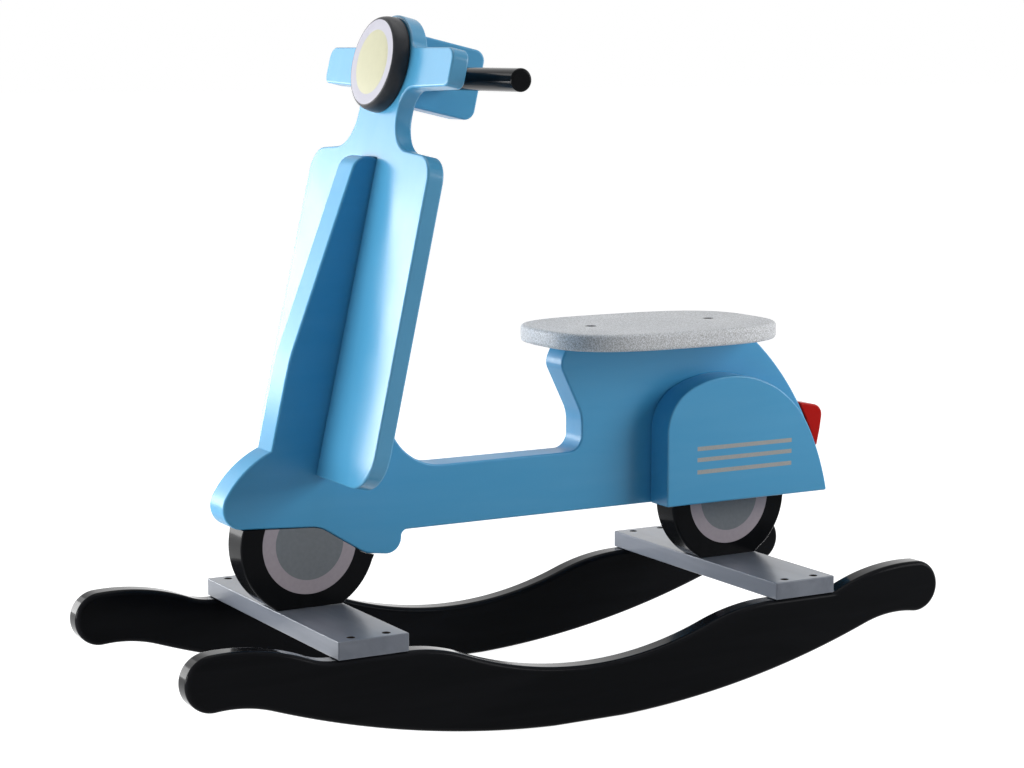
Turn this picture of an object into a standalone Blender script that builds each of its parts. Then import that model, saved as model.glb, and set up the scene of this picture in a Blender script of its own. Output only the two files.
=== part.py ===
"""Rocking scooter toy: a wooden ride-on scooter that stands on two curved rockers.

The front of the scooter faces -X and its left side faces -Y. Z is up, the floor is at Z = 0 and the
rockers' ends lie at equal distances from X = 0. Every board is cut from flat stock, and the boards are
glued, dowelled and screwed together, so nothing on the toy moves against anything else.
"""

import math

import bmesh
import bpy
from mathutils import Matrix, Vector

MM = 0.001

# Clearance left between two pieces that touch or fit into each other
FIT_GAP = 0.3 * MM

# Stock, and how far the cutters eased its edges
PANEL_THICKNESS = 30 * MM
BOARD_THICKNESS = 16 * MM
ROCKER_THICKNESS = 21 * MM
EDGE_EASE = 1.5 * MM
SEAT_EDGE_ROUND = 5 * MM

# Rockers, seen from the side
ROCKER_LENGTH = 771 * MM
ROCKER_END_RADIUS = 24.3 * MM
ROCKER_END_HEIGHT = 80.5 * MM
UNDERSIDE_RADIUS = 925 * MM
UNDERSIDE_LOW_X = -5 * MM
REST_FLAT_LENGTH = 70 * MM
HOLLOW_RADIUS = 120 * MM
CREST_RADIUS = 200 * MM
PAD_HEIGHT = 86 * MM
PAD_FILLET = 15 * MM
DIP_DEPTH = 35 * MM
DIP_RADIUS = 350 * MM

# Cross boards
CROSS_BOARD_LENGTH = 280 * MM
CROSS_BOARD_WIDTH = 66 * MM
FRONT_BOARD_X = -217.5 * MM
REAR_BOARD_X = 228 * MM

# Wheels
WHEEL_RADIUS = 65 * MM
AXLE_HEIGHT = 57 * MM
WHEEL_DOWEL_SET_OUT = 36 * MM

# Body panel, seen from the side
BODY_BOTTOM_RISE = 3 * MM
FLOOR_DEPTH = 56 * MM
RISER_X = 61 * MM
RISER_BELLY_HEIGHT = 90 * MM
RISER_BELLY_RADIUS = 35 * MM
RISER_FOOT_RADIUS = 14 * MM
RISER_BROW_X = 37.5 * MM
RISER_BROW_HEIGHT = 138 * MM
RISER_BROW_RADIUS = 14 * MM
BODY_TOP_HEIGHT = 154 * MM
RISER_TOP_X = 45 * MM
TAIL_RADIUS = 261.5 * MM
TAIL_CENTRE_X = 83 * MM
TAIL_CENTRE_DROP = 47.3 * MM
FENDER_RADIUS = 91.5 * MM
FENDER_TIP_RADIUS = 19 * MM
FENDER_TIP_RISE = 18 * MM
ARCH_CREST_X = 10 * MM
ARCH_CREST_RISE = 13.5 * MM
ARCH_RADIUS = 30 * MM
LOBE_FRONT_X = 54.5 * MM
LOBE_FRONT_DROP = 14.7 * MM
LOBE_FRONT_RADIUS = 25 * MM
LOBE_REAR_X = 90.5 * MM
LOBE_DROP = 19.2 * MM
LOBE_REAR_RADIUS = 14 * MM
LOBE_FOOT_RADIUS = 6 * MM
COLUMN_FRONT_REACH = 45.3 * MM
COLUMN_KNEE_HEIGHT = 95 * MM
COLUMN_KNEE_RADIUS = 120 * MM
COLUMN_TOP_REACH = 19 * MM
COLUMN_CROWN_RADIUS = 15 * MM
COLUMN_REAR_REACH = 56.5 * MM
COLUMN_REAR_RADIUS = 30 * MM
COLUMN_FLARE_RADIUS = 55 * MM

# Shield board: its outline is drawn along the board, up from the foot of its legs
SHIELD_TILT = math.radians(12.76)
SHIELD_FOOT_X = -211.9 * MM
SHIELD_FOOT_RISE = 57 * MM
SHIELD_HALF_WIDTH = 118.5 * MM
SHIELD_FOOT_RADIUS = 34 * MM
SHIELD_TOP_HALF_WIDTH = 116 * MM
SHOULDER_HEIGHT = 286.5 * MM
SHOULDER_RADIUS = 22 * MM
SLOT_SET_DOWN = 4.5 * MM
NECK_HALF_WIDTH = 38 * MM
NECK_FOOT_RISE = 5.5 * MM
NECK_FOOT_RADIUS = 32 * MM
NECK_TOP_RADIUS = 18 * MM
WING_TOP_HEIGHT = 380 * MM
WING_DEPTH = 33 * MM
WING_TIP_LIFT = 3 * MM
WING_HALF_SPAN = 119 * MM
WING_TOP_RADIUS = 11 * MM
WING_TIP_RADIUS = 7.2 * MM
HEAD_RADIUS = 45 * MM
HEAD_BLEND_RADIUS = 12 * MM

# Headlight, handlebar block and handlebar
HEADLIGHT_RADIUS = 42.2 * MM
HEADLIGHT_FACE_RADIUS = 37.5 * MM
HEADLIGHT_THICKNESS = 14.4 * MM
HEADLIGHT_FOOT = 3 * MM
BLOCK_HEIGHT = 63 * MM
BLOCK_LENGTH = 71 * MM
BLOCK_CORNER_RADIUS = 10 * MM
HANDLE_RADIUS = 10 * MM
HANDLE_LENGTH = 300 * MM

# Side cowls and tail light
COWL_FRONT_X = 137 * MM
COWL_INSET = 17.2 * MM
COWL_TOP_RADIUS = 105.4 * MM
COWL_TOP_BEARING = math.radians(26.5)
COWL_NOSE_RADIUS = 45 * MM
COWL_DOWEL_RISE = 45 * MM
COWL_DOWEL_SPACING = 90 * MM
TAIL_LIGHT_LOW_ANGLE = math.radians(18.1)
TAIL_LIGHT_HIGH_ANGLE = math.radians(30)
TAIL_LIGHT_REACH = 24.3 * MM
TAIL_LIGHT_BELLY_RADIUS = 25 * MM
TAIL_LIGHT_CROWN_RADIUS = 11 * MM

# Seat
SEAT_LENGTH = 242 * MM
SEAT_WIDTH = 165 * MM
SEAT_CENTRE_X = 144 * MM
SEAT_SCREW_SPACING = 132 * MM
SEAT_SCREW_CENTRE_X = 145.5 * MM
SEAT_ROUNDNESS = 3
SEAT_POINTS = 64

# Fixings
WOOD_SCREW_HEAD_RADIUS = 3.5 * MM
WOOD_SCREW_RADIUS = 2 * MM
WOOD_SCREW_LENGTH = 45 * MM
WOOD_SCREW_SINK = 3 * MM
ROCKER_SCREW_SPACING = 33 * MM
PANEL_SCREW_HEAD_RADIUS = 5 * MM
PANEL_SCREW_RADIUS = 3.2 * MM
PANEL_SCREW_LENGTH = 50 * MM
PANEL_SCREW_SINK = 4 * MM
WHEEL_SCREW_SPACING = 36 * MM
DOWEL_RADIUS = 4 * MM
DOWEL_LENGTH = 40 * MM
SHORT_DOWEL_RADIUS = 3 * MM
SHORT_DOWEL_LENGTH = 16 * MM
HEADLIGHT_DOWEL_SPACING = 50 * MM
BLOCK_SCREW_SPACING = 40 * MM

# Finishes: colour, roughness and metallic value
BLUE_SATIN_PAINT = ((0.13, 0.42, 0.66), 0.38, 0.0)
BLACK_GLOSS_PAINT = ((0.008, 0.009, 0.011), 0.12, 0.0)
SILVER_GREY_PAINT = ((0.17, 0.185, 0.215), 0.42, 0.0)
SPECKLED_PALE_GREY = ((0.62, 0.63, 0.62), 0.5, 0.0)
DARK_GREY_PAINT = ((0.04, 0.04, 0.045), 0.35, 0.0)
RED_GLOSS_PAINT = ((0.5, 0.01, 0.007), 0.25, 0.0)
RAW_BEECH = ((0.62, 0.42, 0.24), 0.7, 0.0)
DARK_STEEL = ((0.16, 0.16, 0.17), 0.4, 1.0)

# Smoothness of the faceted arcs
ARC_STEP = math.radians(10)
BROAD_ARC_STEP = math.radians(3)
FULL_TURN = 2 * math.pi

# Heights that follow from the stack of pieces, from the floor up
BOARD_BOTTOM_Z = PAD_HEIGHT + FIT_GAP
BOARD_TOP_Z = BOARD_BOTTOM_Z + BOARD_THICKNESS
AXLE_Z = BOARD_TOP_Z + FIT_GAP + AXLE_HEIGHT
BODY_BOTTOM_Z = AXLE_Z + BODY_BOTTOM_RISE
FLOOR_Z = BODY_BOTTOM_Z + FLOOR_DEPTH
BODY_TOP_Z = BODY_BOTTOM_Z + BODY_TOP_HEIGHT
SEAT_BOTTOM_Z = BODY_TOP_Z + FIT_GAP
TAIL_CENTRE_Z = BODY_BOTTOM_Z - TAIL_CENTRE_DROP
SHIELD_FOOT_Z = BODY_BOTTOM_Z + SHIELD_FOOT_RISE

# Heights along the shield board that follow from the ones above
SLOT_HEIGHT = SHOULDER_HEIGHT - SLOT_SET_DOWN
NECK_FOOT_HEIGHT = SHOULDER_HEIGHT + NECK_FOOT_RISE
WING_TIP_HEIGHT = WING_TOP_HEIGHT - WING_DEPTH
WING_FOOT_HEIGHT = WING_TIP_HEIGHT - WING_TIP_LIFT
HEAD_HEIGHT = WING_TOP_HEIGHT - WING_DEPTH / 2
ROCKER_Y = CROSS_BOARD_LENGTH / 2 - ROCKER_THICKNESS / 2

# The shield board's own directions: up along its face, and forward out of its face
ALONG_SHIELD = Vector((math.sin(SHIELD_TILT), 0, math.cos(SHIELD_TILT)))
OUT_OF_SHIELD = Vector((-math.cos(SHIELD_TILT), 0, math.sin(SHIELD_TILT)))
SHIELD_FOOT = Vector((SHIELD_FOOT_X, 0, SHIELD_FOOT_Z))


def clear_scene():
    for thing in list(bpy.data.objects):
        bpy.data.objects.remove(thing, do_unlink=True)


def paint(name, colour, roughness, metallic=0.0):
    finish = bpy.data.materials.new(name)
    finish.use_nodes = True
    shader = finish.node_tree.nodes["Principled BSDF"]
    shader.inputs["Base Color"].default_value = (*colour, 1)
    shader.inputs["Roughness"].default_value = roughness
    shader.inputs["Metallic"].default_value = metallic
    finish.diffuse_color = (*colour, 1)
    return finish


def arc(centre, radius, start, end, step=ARC_STEP):
    """Points on a circle from one angle to the other, both ends included."""
    count = max(1, math.ceil(abs(end - start) / step))
    return [at_angle(centre, radius, start + (end - start) * i / count) for i in range(count + 1)]


def at_angle(centre, radius, angle):
    return centre[0] + radius * math.cos(angle), centre[1] + radius * math.sin(angle)


def bearing(centre, point):
    return math.atan2(point[1] - centre[1], point[0] - centre[0])


def circle_crossing(a, radius_a, b, radius_b, side):
    """Where two circles cross: side is 1 for the crossing on the left of the way from a to b, or -1."""
    apart = math.dist(a, b)
    along = (apart**2 + radius_a**2 - radius_b**2) / (2 * apart)
    off = side * math.sqrt(radius_a**2 - along**2)
    ux, uy = (b[0] - a[0]) / apart, (b[1] - a[1]) / apart
    return a[0] + along * ux - off * uy, a[1] + along * uy + off * ux


def rounded(corners):
    """A closed outline through (x, y, radius) corners, each rounded by its radius.

    Two fillets that would run into each other on the edge between them shrink until they meet.
    """
    count = len(corners)
    spots = [Vector(corner[:2]) for corner in corners]
    halves, spans = [], []
    for i, corner in enumerate(corners):
        to_before = spots[i - 1] - spots[i]
        to_after = spots[(i + 1) % count] - spots[i]
        halves.append(to_before.angle(to_after) / 2)
        spans.append(corner[2] / math.tan(halves[i]))
    points = []
    for i, corner in enumerate(corners):
        if not corner[2]:
            points.append(corner[:2])
            continue
        to_before = spots[i - 1] - spots[i]
        to_after = spots[(i + 1) % count] - spots[i]
        room_before = to_before.length / (spans[i] + spans[i - 1])
        room_after = to_after.length / (spans[i] + spans[(i + 1) % count])
        share = min(1, room_before, room_after)
        radius, span = corner[2] * share, spans[i] * share
        middle = (to_before.normalized() + to_after.normalized()).normalized()
        centre = spots[i] + middle * (radius / math.sin(halves[i]))
        first = bearing(centre, spots[i] + to_before.normalized() * span)
        last = bearing(centre, spots[i] + to_after.normalized() * span)
        turn = (last - first + math.pi) % FULL_TURN - math.pi
        points += arc(centre, radius, first, first + turn)
    return points


def without_repeats(points, least=0.05 * MM):
    kept = []
    for point in points:
        if not kept or math.dist(point, kept[-1]) > least:
            kept.append(point)
    while math.dist(kept[0], kept[-1]) <= least:
        kept.pop()
    return kept


def grown(points, distance):
    """An anticlockwise outline moved outwards by a distance, with mitred corners."""
    moved = []
    for i, point in enumerate(points):
        here = Vector(point)
        entering = (here - Vector(points[i - 1])).normalized()
        leaving = (Vector(points[(i + 1) % len(points)]) - here).normalized()
        outward = Vector((entering.y + leaving.y, -entering.x - leaving.x)).normalized()
        stretch = outward.dot(Vector((entering.y, -entering.x)))
        moved.append(tuple(here + outward * (distance / max(stretch, 0.3))))
    return moved


def add_object(name, mesh, finish=None):
    thing = bpy.data.objects.new(name, mesh)
    bpy.context.collection.objects.link(thing)
    if finish:
        mesh.materials.append(paint(f"{name}_finish", *finish))
        thing.parent = toy
    else:
        thing.hide_render = True
        thing.display_type = "WIRE"
    return thing


def board(name, outline, thickness, finish=None, ease=0.0, segments=1):
    """Flat stock cut to an outline in its own XY plane, centred on it, with both faces' edges eased."""
    shape = bmesh.new()
    corners = [shape.verts.new((x, y, -thickness / 2)) for x, y in without_repeats(outline)]
    face = shape.faces.new(corners)
    lifted = bmesh.ops.extrude_face_region(shape, geom=[face])["geom"]
    risen = [part for part in lifted if isinstance(part, bmesh.types.BMVert)]
    bmesh.ops.translate(shape, verts=risen, vec=(0, 0, thickness))
    bmesh.ops.recalc_face_normals(shape, faces=shape.faces)
    mesh = bpy.data.meshes.new(name)
    shape.to_mesh(mesh)
    shape.free()
    thing = add_object(name, mesh, finish)
    if ease:
        bevel = thing.modifiers.new("eased edges", "BEVEL")
        bevel.width = ease
        bevel.segments = segments
        bevel.use_clamp_overlap = False
        bevel.limit_method = "ANGLE"
        bevel.angle_limit = math.radians(60)
    return thing


def turned(name, profile, finish=None, segments=16):
    """A turned piece round its own Z axis, through (radius, height) pairs from its lower end up."""
    shape = bmesh.new()
    rings = []
    for radius, height in profile:
        angles = [FULL_TURN * i / segments for i in range(segments)]
        ring = [shape.verts.new((radius * math.cos(a), radius * math.sin(a), height)) for a in angles]
        rings.append(ring)
    for lower, upper in zip(rings, rings[1:]):
        for i in range(segments):
            j = (i + 1) % segments
            shape.faces.new((lower[i], lower[j], upper[j], upper[i]))
    shape.faces.new(reversed(rings[0]))
    shape.faces.new(rings[-1])
    mesh = bpy.data.meshes.new(name)
    shape.to_mesh(mesh)
    shape.free()
    thing = add_object(name, mesh, finish)
    mesh.shade_smooth()
    mesh.set_sharp_from_angle(angle=math.radians(40))
    return thing


def stand_up(thing, x=0.0, y=0.0, z=0.0):
    """Stands a board drawn in XY up in the XZ plane, its own Z facing -Y."""
    thing.matrix_world = Matrix.Translation((x, y, z)) @ Matrix.Rotation(math.pi / 2, 4, "X")


def point_along(thing, origin, direction):
    """Puts a turned piece's own origin at a point, with its Z axis along a direction."""
    turn = Vector((0, 0, 1)).rotation_difference(Vector(direction).normalized())
    thing.matrix_world = Matrix.Translation(origin) @ turn.to_matrix().to_4x4()


def cut(piece, cutter):
    boolean = piece.modifiers.new(cutter.name, "BOOLEAN")
    boolean.operation = "DIFFERENCE"
    boolean.object = cutter


def on_shield(height, out=0.0, across=0.0):
    """A point given by its height along the shield board, its distance out of the front face and its Y."""
    point = SHIELD_FOOT + ALONG_SHIELD * height + OUT_OF_SHIELD * out
    return Vector((point.x, across, point.z))


def side_view(point):
    return point.x, point.z


def dowel(name, middle, direction, pieces, radius=DOWEL_RADIUS, length=DOWEL_LENGTH):
    """A plain dowel centred on a point, and the hole for it in each piece that it joins."""
    pin = turned(name, [(radius, -length / 2), (radius, length / 2)], RAW_BEECH, 12)
    hole_radius = radius + FIT_GAP
    hole_reach = length / 2 + FIT_GAP
    hole = turned(name + "_hole", [(hole_radius, -hole_reach), (hole_radius, hole_reach)], None, 12)
    for thing in (pin, hole):
        point_along(thing, middle, direction)
    for piece in pieces:
        cut(piece, hole)
    return pin


def screw(name, mouth, direction, pieces, head_radius, radius, length, sink):
    """A countersunk screw driven from a point on a surface, and its hole in each piece that it joins.

    Its own Z axis runs back out of the wood, so its point is at the lower end of the profile.
    """
    head = head_radius - radius
    tip = radius * 1.5
    shape = [
        (radius / 3, -sink - length),
        (radius, -sink - length + tip),
        (radius, -sink - head * 1.4),
        (head_radius, -sink - head * 0.4),
        (head_radius, -sink),
    ]
    hole_shape = [
        (radius + FIT_GAP, -sink - length - FIT_GAP),
        (radius + FIT_GAP, -sink - head * 1.4 - FIT_GAP),
        (head_radius + FIT_GAP, -sink - head * 0.4 - FIT_GAP),
        (head_radius + FIT_GAP, head_radius),
    ]
    fixing = turned(name, shape, DARK_STEEL, 12)
    hole = turned(name + "_hole", hole_shape, None, 12)
    for thing in (fixing, hole):
        point_along(thing, mouth, -Vector(direction))
    for piece in pieces:
        cut(piece, hole)
    return fixing


def rocker_end(side):
    """One half of a rocker's outline from the middle of its dip down round the end to the rest flat.

    side is -1 for the front end and 1 for the rear one. The crest, the end and the underside are arcs
    tangent to each other, with a hollow arc between the last two. The dip in the top edge is an arc that
    leads through a counter-arc into the flat pad, and the pad runs on past the outer edge of the board.
    """
    board_x = FRONT_BOARD_X if side < 0 else REAR_BOARD_X
    pad_start = abs(board_x) - CROSS_BOARD_WIDTH / 2
    rise = DIP_RADIUS - DIP_DEPTH
    counter_radius = (rise**2 + pad_start**2 - DIP_RADIUS**2) / (2 * (DIP_RADIUS - rise))
    dip_centre = (0, PAD_HEIGHT - DIP_DEPTH + DIP_RADIUS)
    counter_centre = (pad_start, PAD_HEIGHT - counter_radius)
    lean = math.atan2(pad_start, dip_centre[1] - counter_centre[1])
    down, up = -math.pi / 2, math.pi / 2
    dip = arc(dip_centre, DIP_RADIUS, down, down + lean, BROAD_ARC_STEP)
    counter = arc(counter_centre, counter_radius, up + lean, up, BROAD_ARC_STEP * 2)

    end = (ROCKER_LENGTH / 2 - ROCKER_END_RADIUS, ROCKER_END_HEIGHT)
    pad_reach = max(-FRONT_BOARD_X, REAR_BOARD_X) + CROSS_BOARD_WIDTH / 2 + FIT_GAP
    pad_end = (pad_reach, PAD_HEIGHT + PAD_FILLET)
    crest = circle_crossing(end, CREST_RADIUS - ROCKER_END_RADIUS, pad_end, CREST_RADIUS + PAD_FILLET, 1)
    low_x = side * UNDERSIDE_LOW_X
    flat_angle = math.asin(REST_FLAT_LENGTH / 2 / UNDERSIDE_RADIUS)
    under = (low_x, UNDERSIDE_RADIUS * math.cos(flat_angle))
    end_span, under_span = ROCKER_END_RADIUS + HOLLOW_RADIUS, UNDERSIDE_RADIUS + HOLLOW_RADIUS
    hollow = circle_crossing(end, end_span, under, under_span, 1)
    half = dip + counter + arc(pad_end, PAD_FILLET, down, bearing(pad_end, crest))
    half += arc(crest, CREST_RADIUS, bearing(crest, pad_end), bearing(crest, end), BROAD_ARC_STEP * 2)
    half += arc(end, ROCKER_END_RADIUS, bearing(crest, end), bearing(end, hollow), ARC_STEP * 1.5)
    half += arc(hollow, HOLLOW_RADIUS, bearing(hollow, end), bearing(hollow, under), ARC_STEP / 2)
    half += arc(under, UNDERSIDE_RADIUS, bearing(under, hollow), down + flat_angle, BROAD_ARC_STEP)
    return [(side * x, z) for x, z in half]


def make_rockers():
    """Both rockers, alike: boards on edge, flush with the ends of the cross boards."""
    outline = rocker_end(-1) + list(reversed(rocker_end(1)))
    for name, side in (("rocker_left", -1), ("rocker_right", 1)):
        rocker = board(name, outline, ROCKER_THICKNESS, BLACK_GLOSS_PAINT, EDGE_EASE)
        stand_up(rocker, y=side * ROCKER_Y)
        pieces[name] = rocker


def make_cross_boards():
    """The two boards that lie across the rockers and carry the wheels."""
    half_width, half_length = CROSS_BOARD_WIDTH / 2, CROSS_BOARD_LENGTH / 2
    outline = [(-half_width, -half_length), (half_width, -half_length)]
    outline += [(half_width, half_length), (-half_width, half_length)]
    for name, x in (("front_cross_board", FRONT_BOARD_X), ("rear_cross_board", REAR_BOARD_X)):
        cross = board(name, outline, BOARD_THICKNESS, SILVER_GREY_PAINT, EDGE_EASE / 2)
        cross.location = (x, 0, (BOARD_BOTTOM_Z + BOARD_TOP_Z) / 2)
        pieces[name] = cross
        rows = (x - ROCKER_SCREW_SPACING / 2, x + ROCKER_SCREW_SPACING / 2)
        for side_name, side in (("left", -1), ("right", 1)):
            for number, row in enumerate(rows, 1):
                end = name.split("_")[0]
                screw(
                    f"rocker_screw_{end}_{side_name}_{number}",
                    Vector((row, side * ROCKER_Y, BOARD_TOP_Z)),
                    (0, 0, -1),
                    (cross, pieces[f"rocker_{side_name}"]),
                    WOOD_SCREW_HEAD_RADIUS,
                    WOOD_SCREW_RADIUS,
                    WOOD_SCREW_LENGTH,
                    WOOD_SCREW_SINK,
                )


def tail_outline():
    """The rear edge of the body panel, from the bottom edge up."""
    start = math.asin((BODY_BOTTOM_Z - TAIL_CENTRE_Z) / TAIL_RADIUS)
    end = math.asin((BODY_TOP_Z - TAIL_CENTRE_Z) / TAIL_RADIUS)
    return arc((TAIL_CENTRE_X, TAIL_CENTRE_Z), TAIL_RADIUS, start, end, BROAD_ARC_STEP)


def body_outline():
    """The body panel from the side, anticlockwise from the foot of its tail.

    Its column keeps to the shield board's tilt, with one edge in front of the board and one behind it.
    """
    axle = (FRONT_BOARD_X, AXLE_Z)
    points = tail_outline()
    head_height = SLOT_HEIGHT - FIT_GAP
    rear_edge = side_view(on_shield(head_height, -COLUMN_REAR_REACH))
    to_floor = (FLOOR_Z - on_shield(0, -COLUMN_REAR_REACH).z) / ALONG_SHIELD.z
    column_heel = side_view(on_shield(to_floor, -COLUMN_REAR_REACH))
    column_crown = side_view(on_shield(head_height, COLUMN_TOP_REACH))
    column_knee = side_view(on_shield(COLUMN_KNEE_HEIGHT, COLUMN_FRONT_REACH))
    riser = [
        (RISER_TOP_X, BODY_TOP_Z, 0),
        (RISER_BROW_X, BODY_BOTTOM_Z + RISER_BROW_HEIGHT, RISER_BROW_RADIUS),
        (RISER_X, BODY_BOTTOM_Z + RISER_BELLY_HEIGHT, RISER_BELLY_RADIUS),
        (RISER_X, FLOOR_Z, RISER_FOOT_RADIUS),
        (*column_heel, COLUMN_FLARE_RADIUS),
        (*rear_edge, COLUMN_REAR_RADIUS),
        (*column_crown, COLUMN_CROWN_RADIUS),
        (*column_knee, COLUMN_KNEE_RADIUS),
    ]
    foot = column_foot(axle)
    tip_z = AXLE_Z + FENDER_TIP_RISE + FENDER_TIP_RADIUS
    reach = FENDER_RADIUS - FENDER_TIP_RADIUS
    tip = (axle[0] - math.sqrt(reach**2 - (tip_z - axle[1]) ** 2), tip_z)
    lower = [
        (tip[0], tip_z - FENDER_TIP_RADIUS, 0),
        (axle[0] + ARCH_CREST_X, axle[1] + ARCH_CREST_RISE, ARCH_RADIUS),
        (axle[0] + LOBE_FRONT_X, axle[1] - LOBE_FRONT_DROP, LOBE_FRONT_RADIUS),
        (axle[0] + LOBE_REAR_X, axle[1] - LOBE_DROP, LOBE_REAR_RADIUS),
        (axle[0] + LOBE_REAR_X, BODY_BOTTOM_Z, LOBE_FOOT_RADIUS),
    ]
    chain = [(*points[-1], 0), *riser, (*foot, 0)]
    points += rounded(chain)[1:]
    tip_start = bearing(axle, tip)
    points += arc(axle, FENDER_RADIUS, bearing(axle, foot), tip_start)
    points += arc(tip, FENDER_TIP_RADIUS, tip_start, tip_start + tip_turn(tip_start), ARC_STEP * 1.5)
    points += rounded([*lower, (*points[0], 0)])[1:-1]
    return points


def column_foot(axle):
    """Where the column's front edge runs into the round of the fender."""
    low = on_shield(0, COLUMN_FRONT_REACH)
    dx, dz = low.x - axle[0], low.z - axle[1]
    along = dx * ALONG_SHIELD.x + dz * ALONG_SHIELD.z
    climb = math.sqrt(along**2 + FENDER_RADIUS**2 - dx**2 - dz**2) - along
    return side_view(on_shield(climb, COLUMN_FRONT_REACH))


def tip_turn(tip_start):
    """How far the fender's tip turns, from the fender's round to its level lower edge."""
    return (-math.pi / 2 - tip_start) % FULL_TURN


def make_body():
    """The upright panel that is the scooter's body: fender, floor, column and seat riser in one."""
    outline = without_repeats(body_outline())
    pieces["body_panel"] = board("body_panel", outline, PANEL_THICKNESS, BLUE_SATIN_PAINT, EDGE_EASE)
    stand_up(pieces["body_panel"])
    shadow = board("body_clearance", grown(outline, FIT_GAP), PANEL_THICKNESS * 2)
    stand_up(shadow)
    return shadow


def make_wheels(body_clearance):
    """Fixed wheels, cut flat where they stand on a cross board and cut to the body's lower edge."""
    flat = math.asin(min(AXLE_HEIGHT / WHEEL_RADIUS, 0.99))
    outline = arc((0, 0), WHEEL_RADIUS, -flat, math.pi + flat)
    for end, x in (("front", FRONT_BOARD_X), ("rear", REAR_BOARD_X)):
        wheel = board(f"{end}_wheel", outline, PANEL_THICKNESS, BLACK_GLOSS_PAINT, EDGE_EASE)
        stand_up(wheel, x, 0, AXLE_Z)
        cut(wheel, body_clearance)
        pieces[f"{end}_wheel"] = wheel
        for number, side in enumerate((-1, 1), 1):
            screw(
                f"wheel_screw_{end}_{number}",
                Vector((x + side * WHEEL_SCREW_SPACING / 2, 0, BOARD_BOTTOM_Z)),
                (0, 0, 1),
                (pieces[f"{end}_cross_board"], wheel),
                PANEL_SCREW_HEAD_RADIUS,
                PANEL_SCREW_RADIUS,
                PANEL_SCREW_LENGTH,
                PANEL_SCREW_SINK,
            )
    arch_z = AXLE_Z + ARCH_CREST_RISE
    spots = (
        ("front", 1, FRONT_BOARD_X - WHEEL_DOWEL_SET_OUT, arch_z),
        ("front", 2, FRONT_BOARD_X, arch_z),
        ("rear", 1, REAR_BOARD_X - WHEEL_DOWEL_SET_OUT, BODY_BOTTOM_Z),
        ("rear", 2, REAR_BOARD_X + WHEEL_DOWEL_SET_OUT, BODY_BOTTOM_Z),
    )
    for end, number, x, z in spots:
        joined = (pieces[f"{end}_wheel"], pieces["body_panel"])
        dowel(f"wheel_dowel_{end}_{number}", Vector((x, 0, z)), (0, 0, 1), joined)


def shield_outline():
    """The shield board from the front: two legs, shoulders, neck, wings and a round head."""
    slot = PANEL_THICKNESS / 2 + FIT_GAP
    half = rounded(
        [
            (slot, SLOT_HEIGHT, 0),
            (slot, 0, 0),
            (SHIELD_HALF_WIDTH, 0, SHIELD_FOOT_RADIUS),
            (SHIELD_TOP_HALF_WIDTH, SHOULDER_HEIGHT, SHOULDER_RADIUS),
            (NECK_HALF_WIDTH, NECK_FOOT_HEIGHT, NECK_FOOT_RADIUS),
            (NECK_HALF_WIDTH, WING_FOOT_HEIGHT, NECK_TOP_RADIUS),
            (WING_HALF_SPAN, WING_TIP_HEIGHT, WING_TIP_RADIUS),
            (WING_HALF_SPAN, WING_TOP_HEIGHT, WING_TOP_RADIUS),
            (0, WING_TOP_HEIGHT, 0),
        ]
    )[:-1]
    head = (0, HEAD_HEIGHT)
    blend_z = WING_TOP_HEIGHT + HEAD_BLEND_RADIUS
    blend_x = math.sqrt((HEAD_RADIUS + HEAD_BLEND_RADIUS) ** 2 - (blend_z - HEAD_HEIGHT) ** 2)
    corner = (blend_x, blend_z)
    end = -math.pi + math.atan2(blend_z - HEAD_HEIGHT, blend_x)
    half += arc(corner, HEAD_BLEND_RADIUS, -math.pi / 2, end)
    half += arc(head, HEAD_RADIUS, bearing(head, corner), math.pi / 2)
    return half + [(-x, z) for x, z in reversed(half[:-1])]


def lay_on_shield(thing, height, out):
    """Lays a piece drawn in XY flat on the shield board, its own Z facing out of the board's front."""
    turn = Matrix((Vector((0, -1, 0)), ALONG_SHIELD, OUT_OF_SHIELD)).transposed()
    thing.matrix_world = Matrix.Translation(on_shield(height, out)) @ turn.to_4x4()


def make_shield():
    """The slotted board that straddles the body's column and carries the head."""
    shield = board("shield_board", shield_outline(), BOARD_THICKNESS, BLUE_SATIN_PAINT, EDGE_EASE)
    lay_on_shield(shield, 0, -BOARD_THICKNESS / 2)
    pieces["shield_board"] = shield
    joint = on_shield(SLOT_HEIGHT, -BOARD_THICKNESS / 2)
    dowel("shield_dowel", joint, ALONG_SHIELD, (shield, pieces["body_panel"]))


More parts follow.
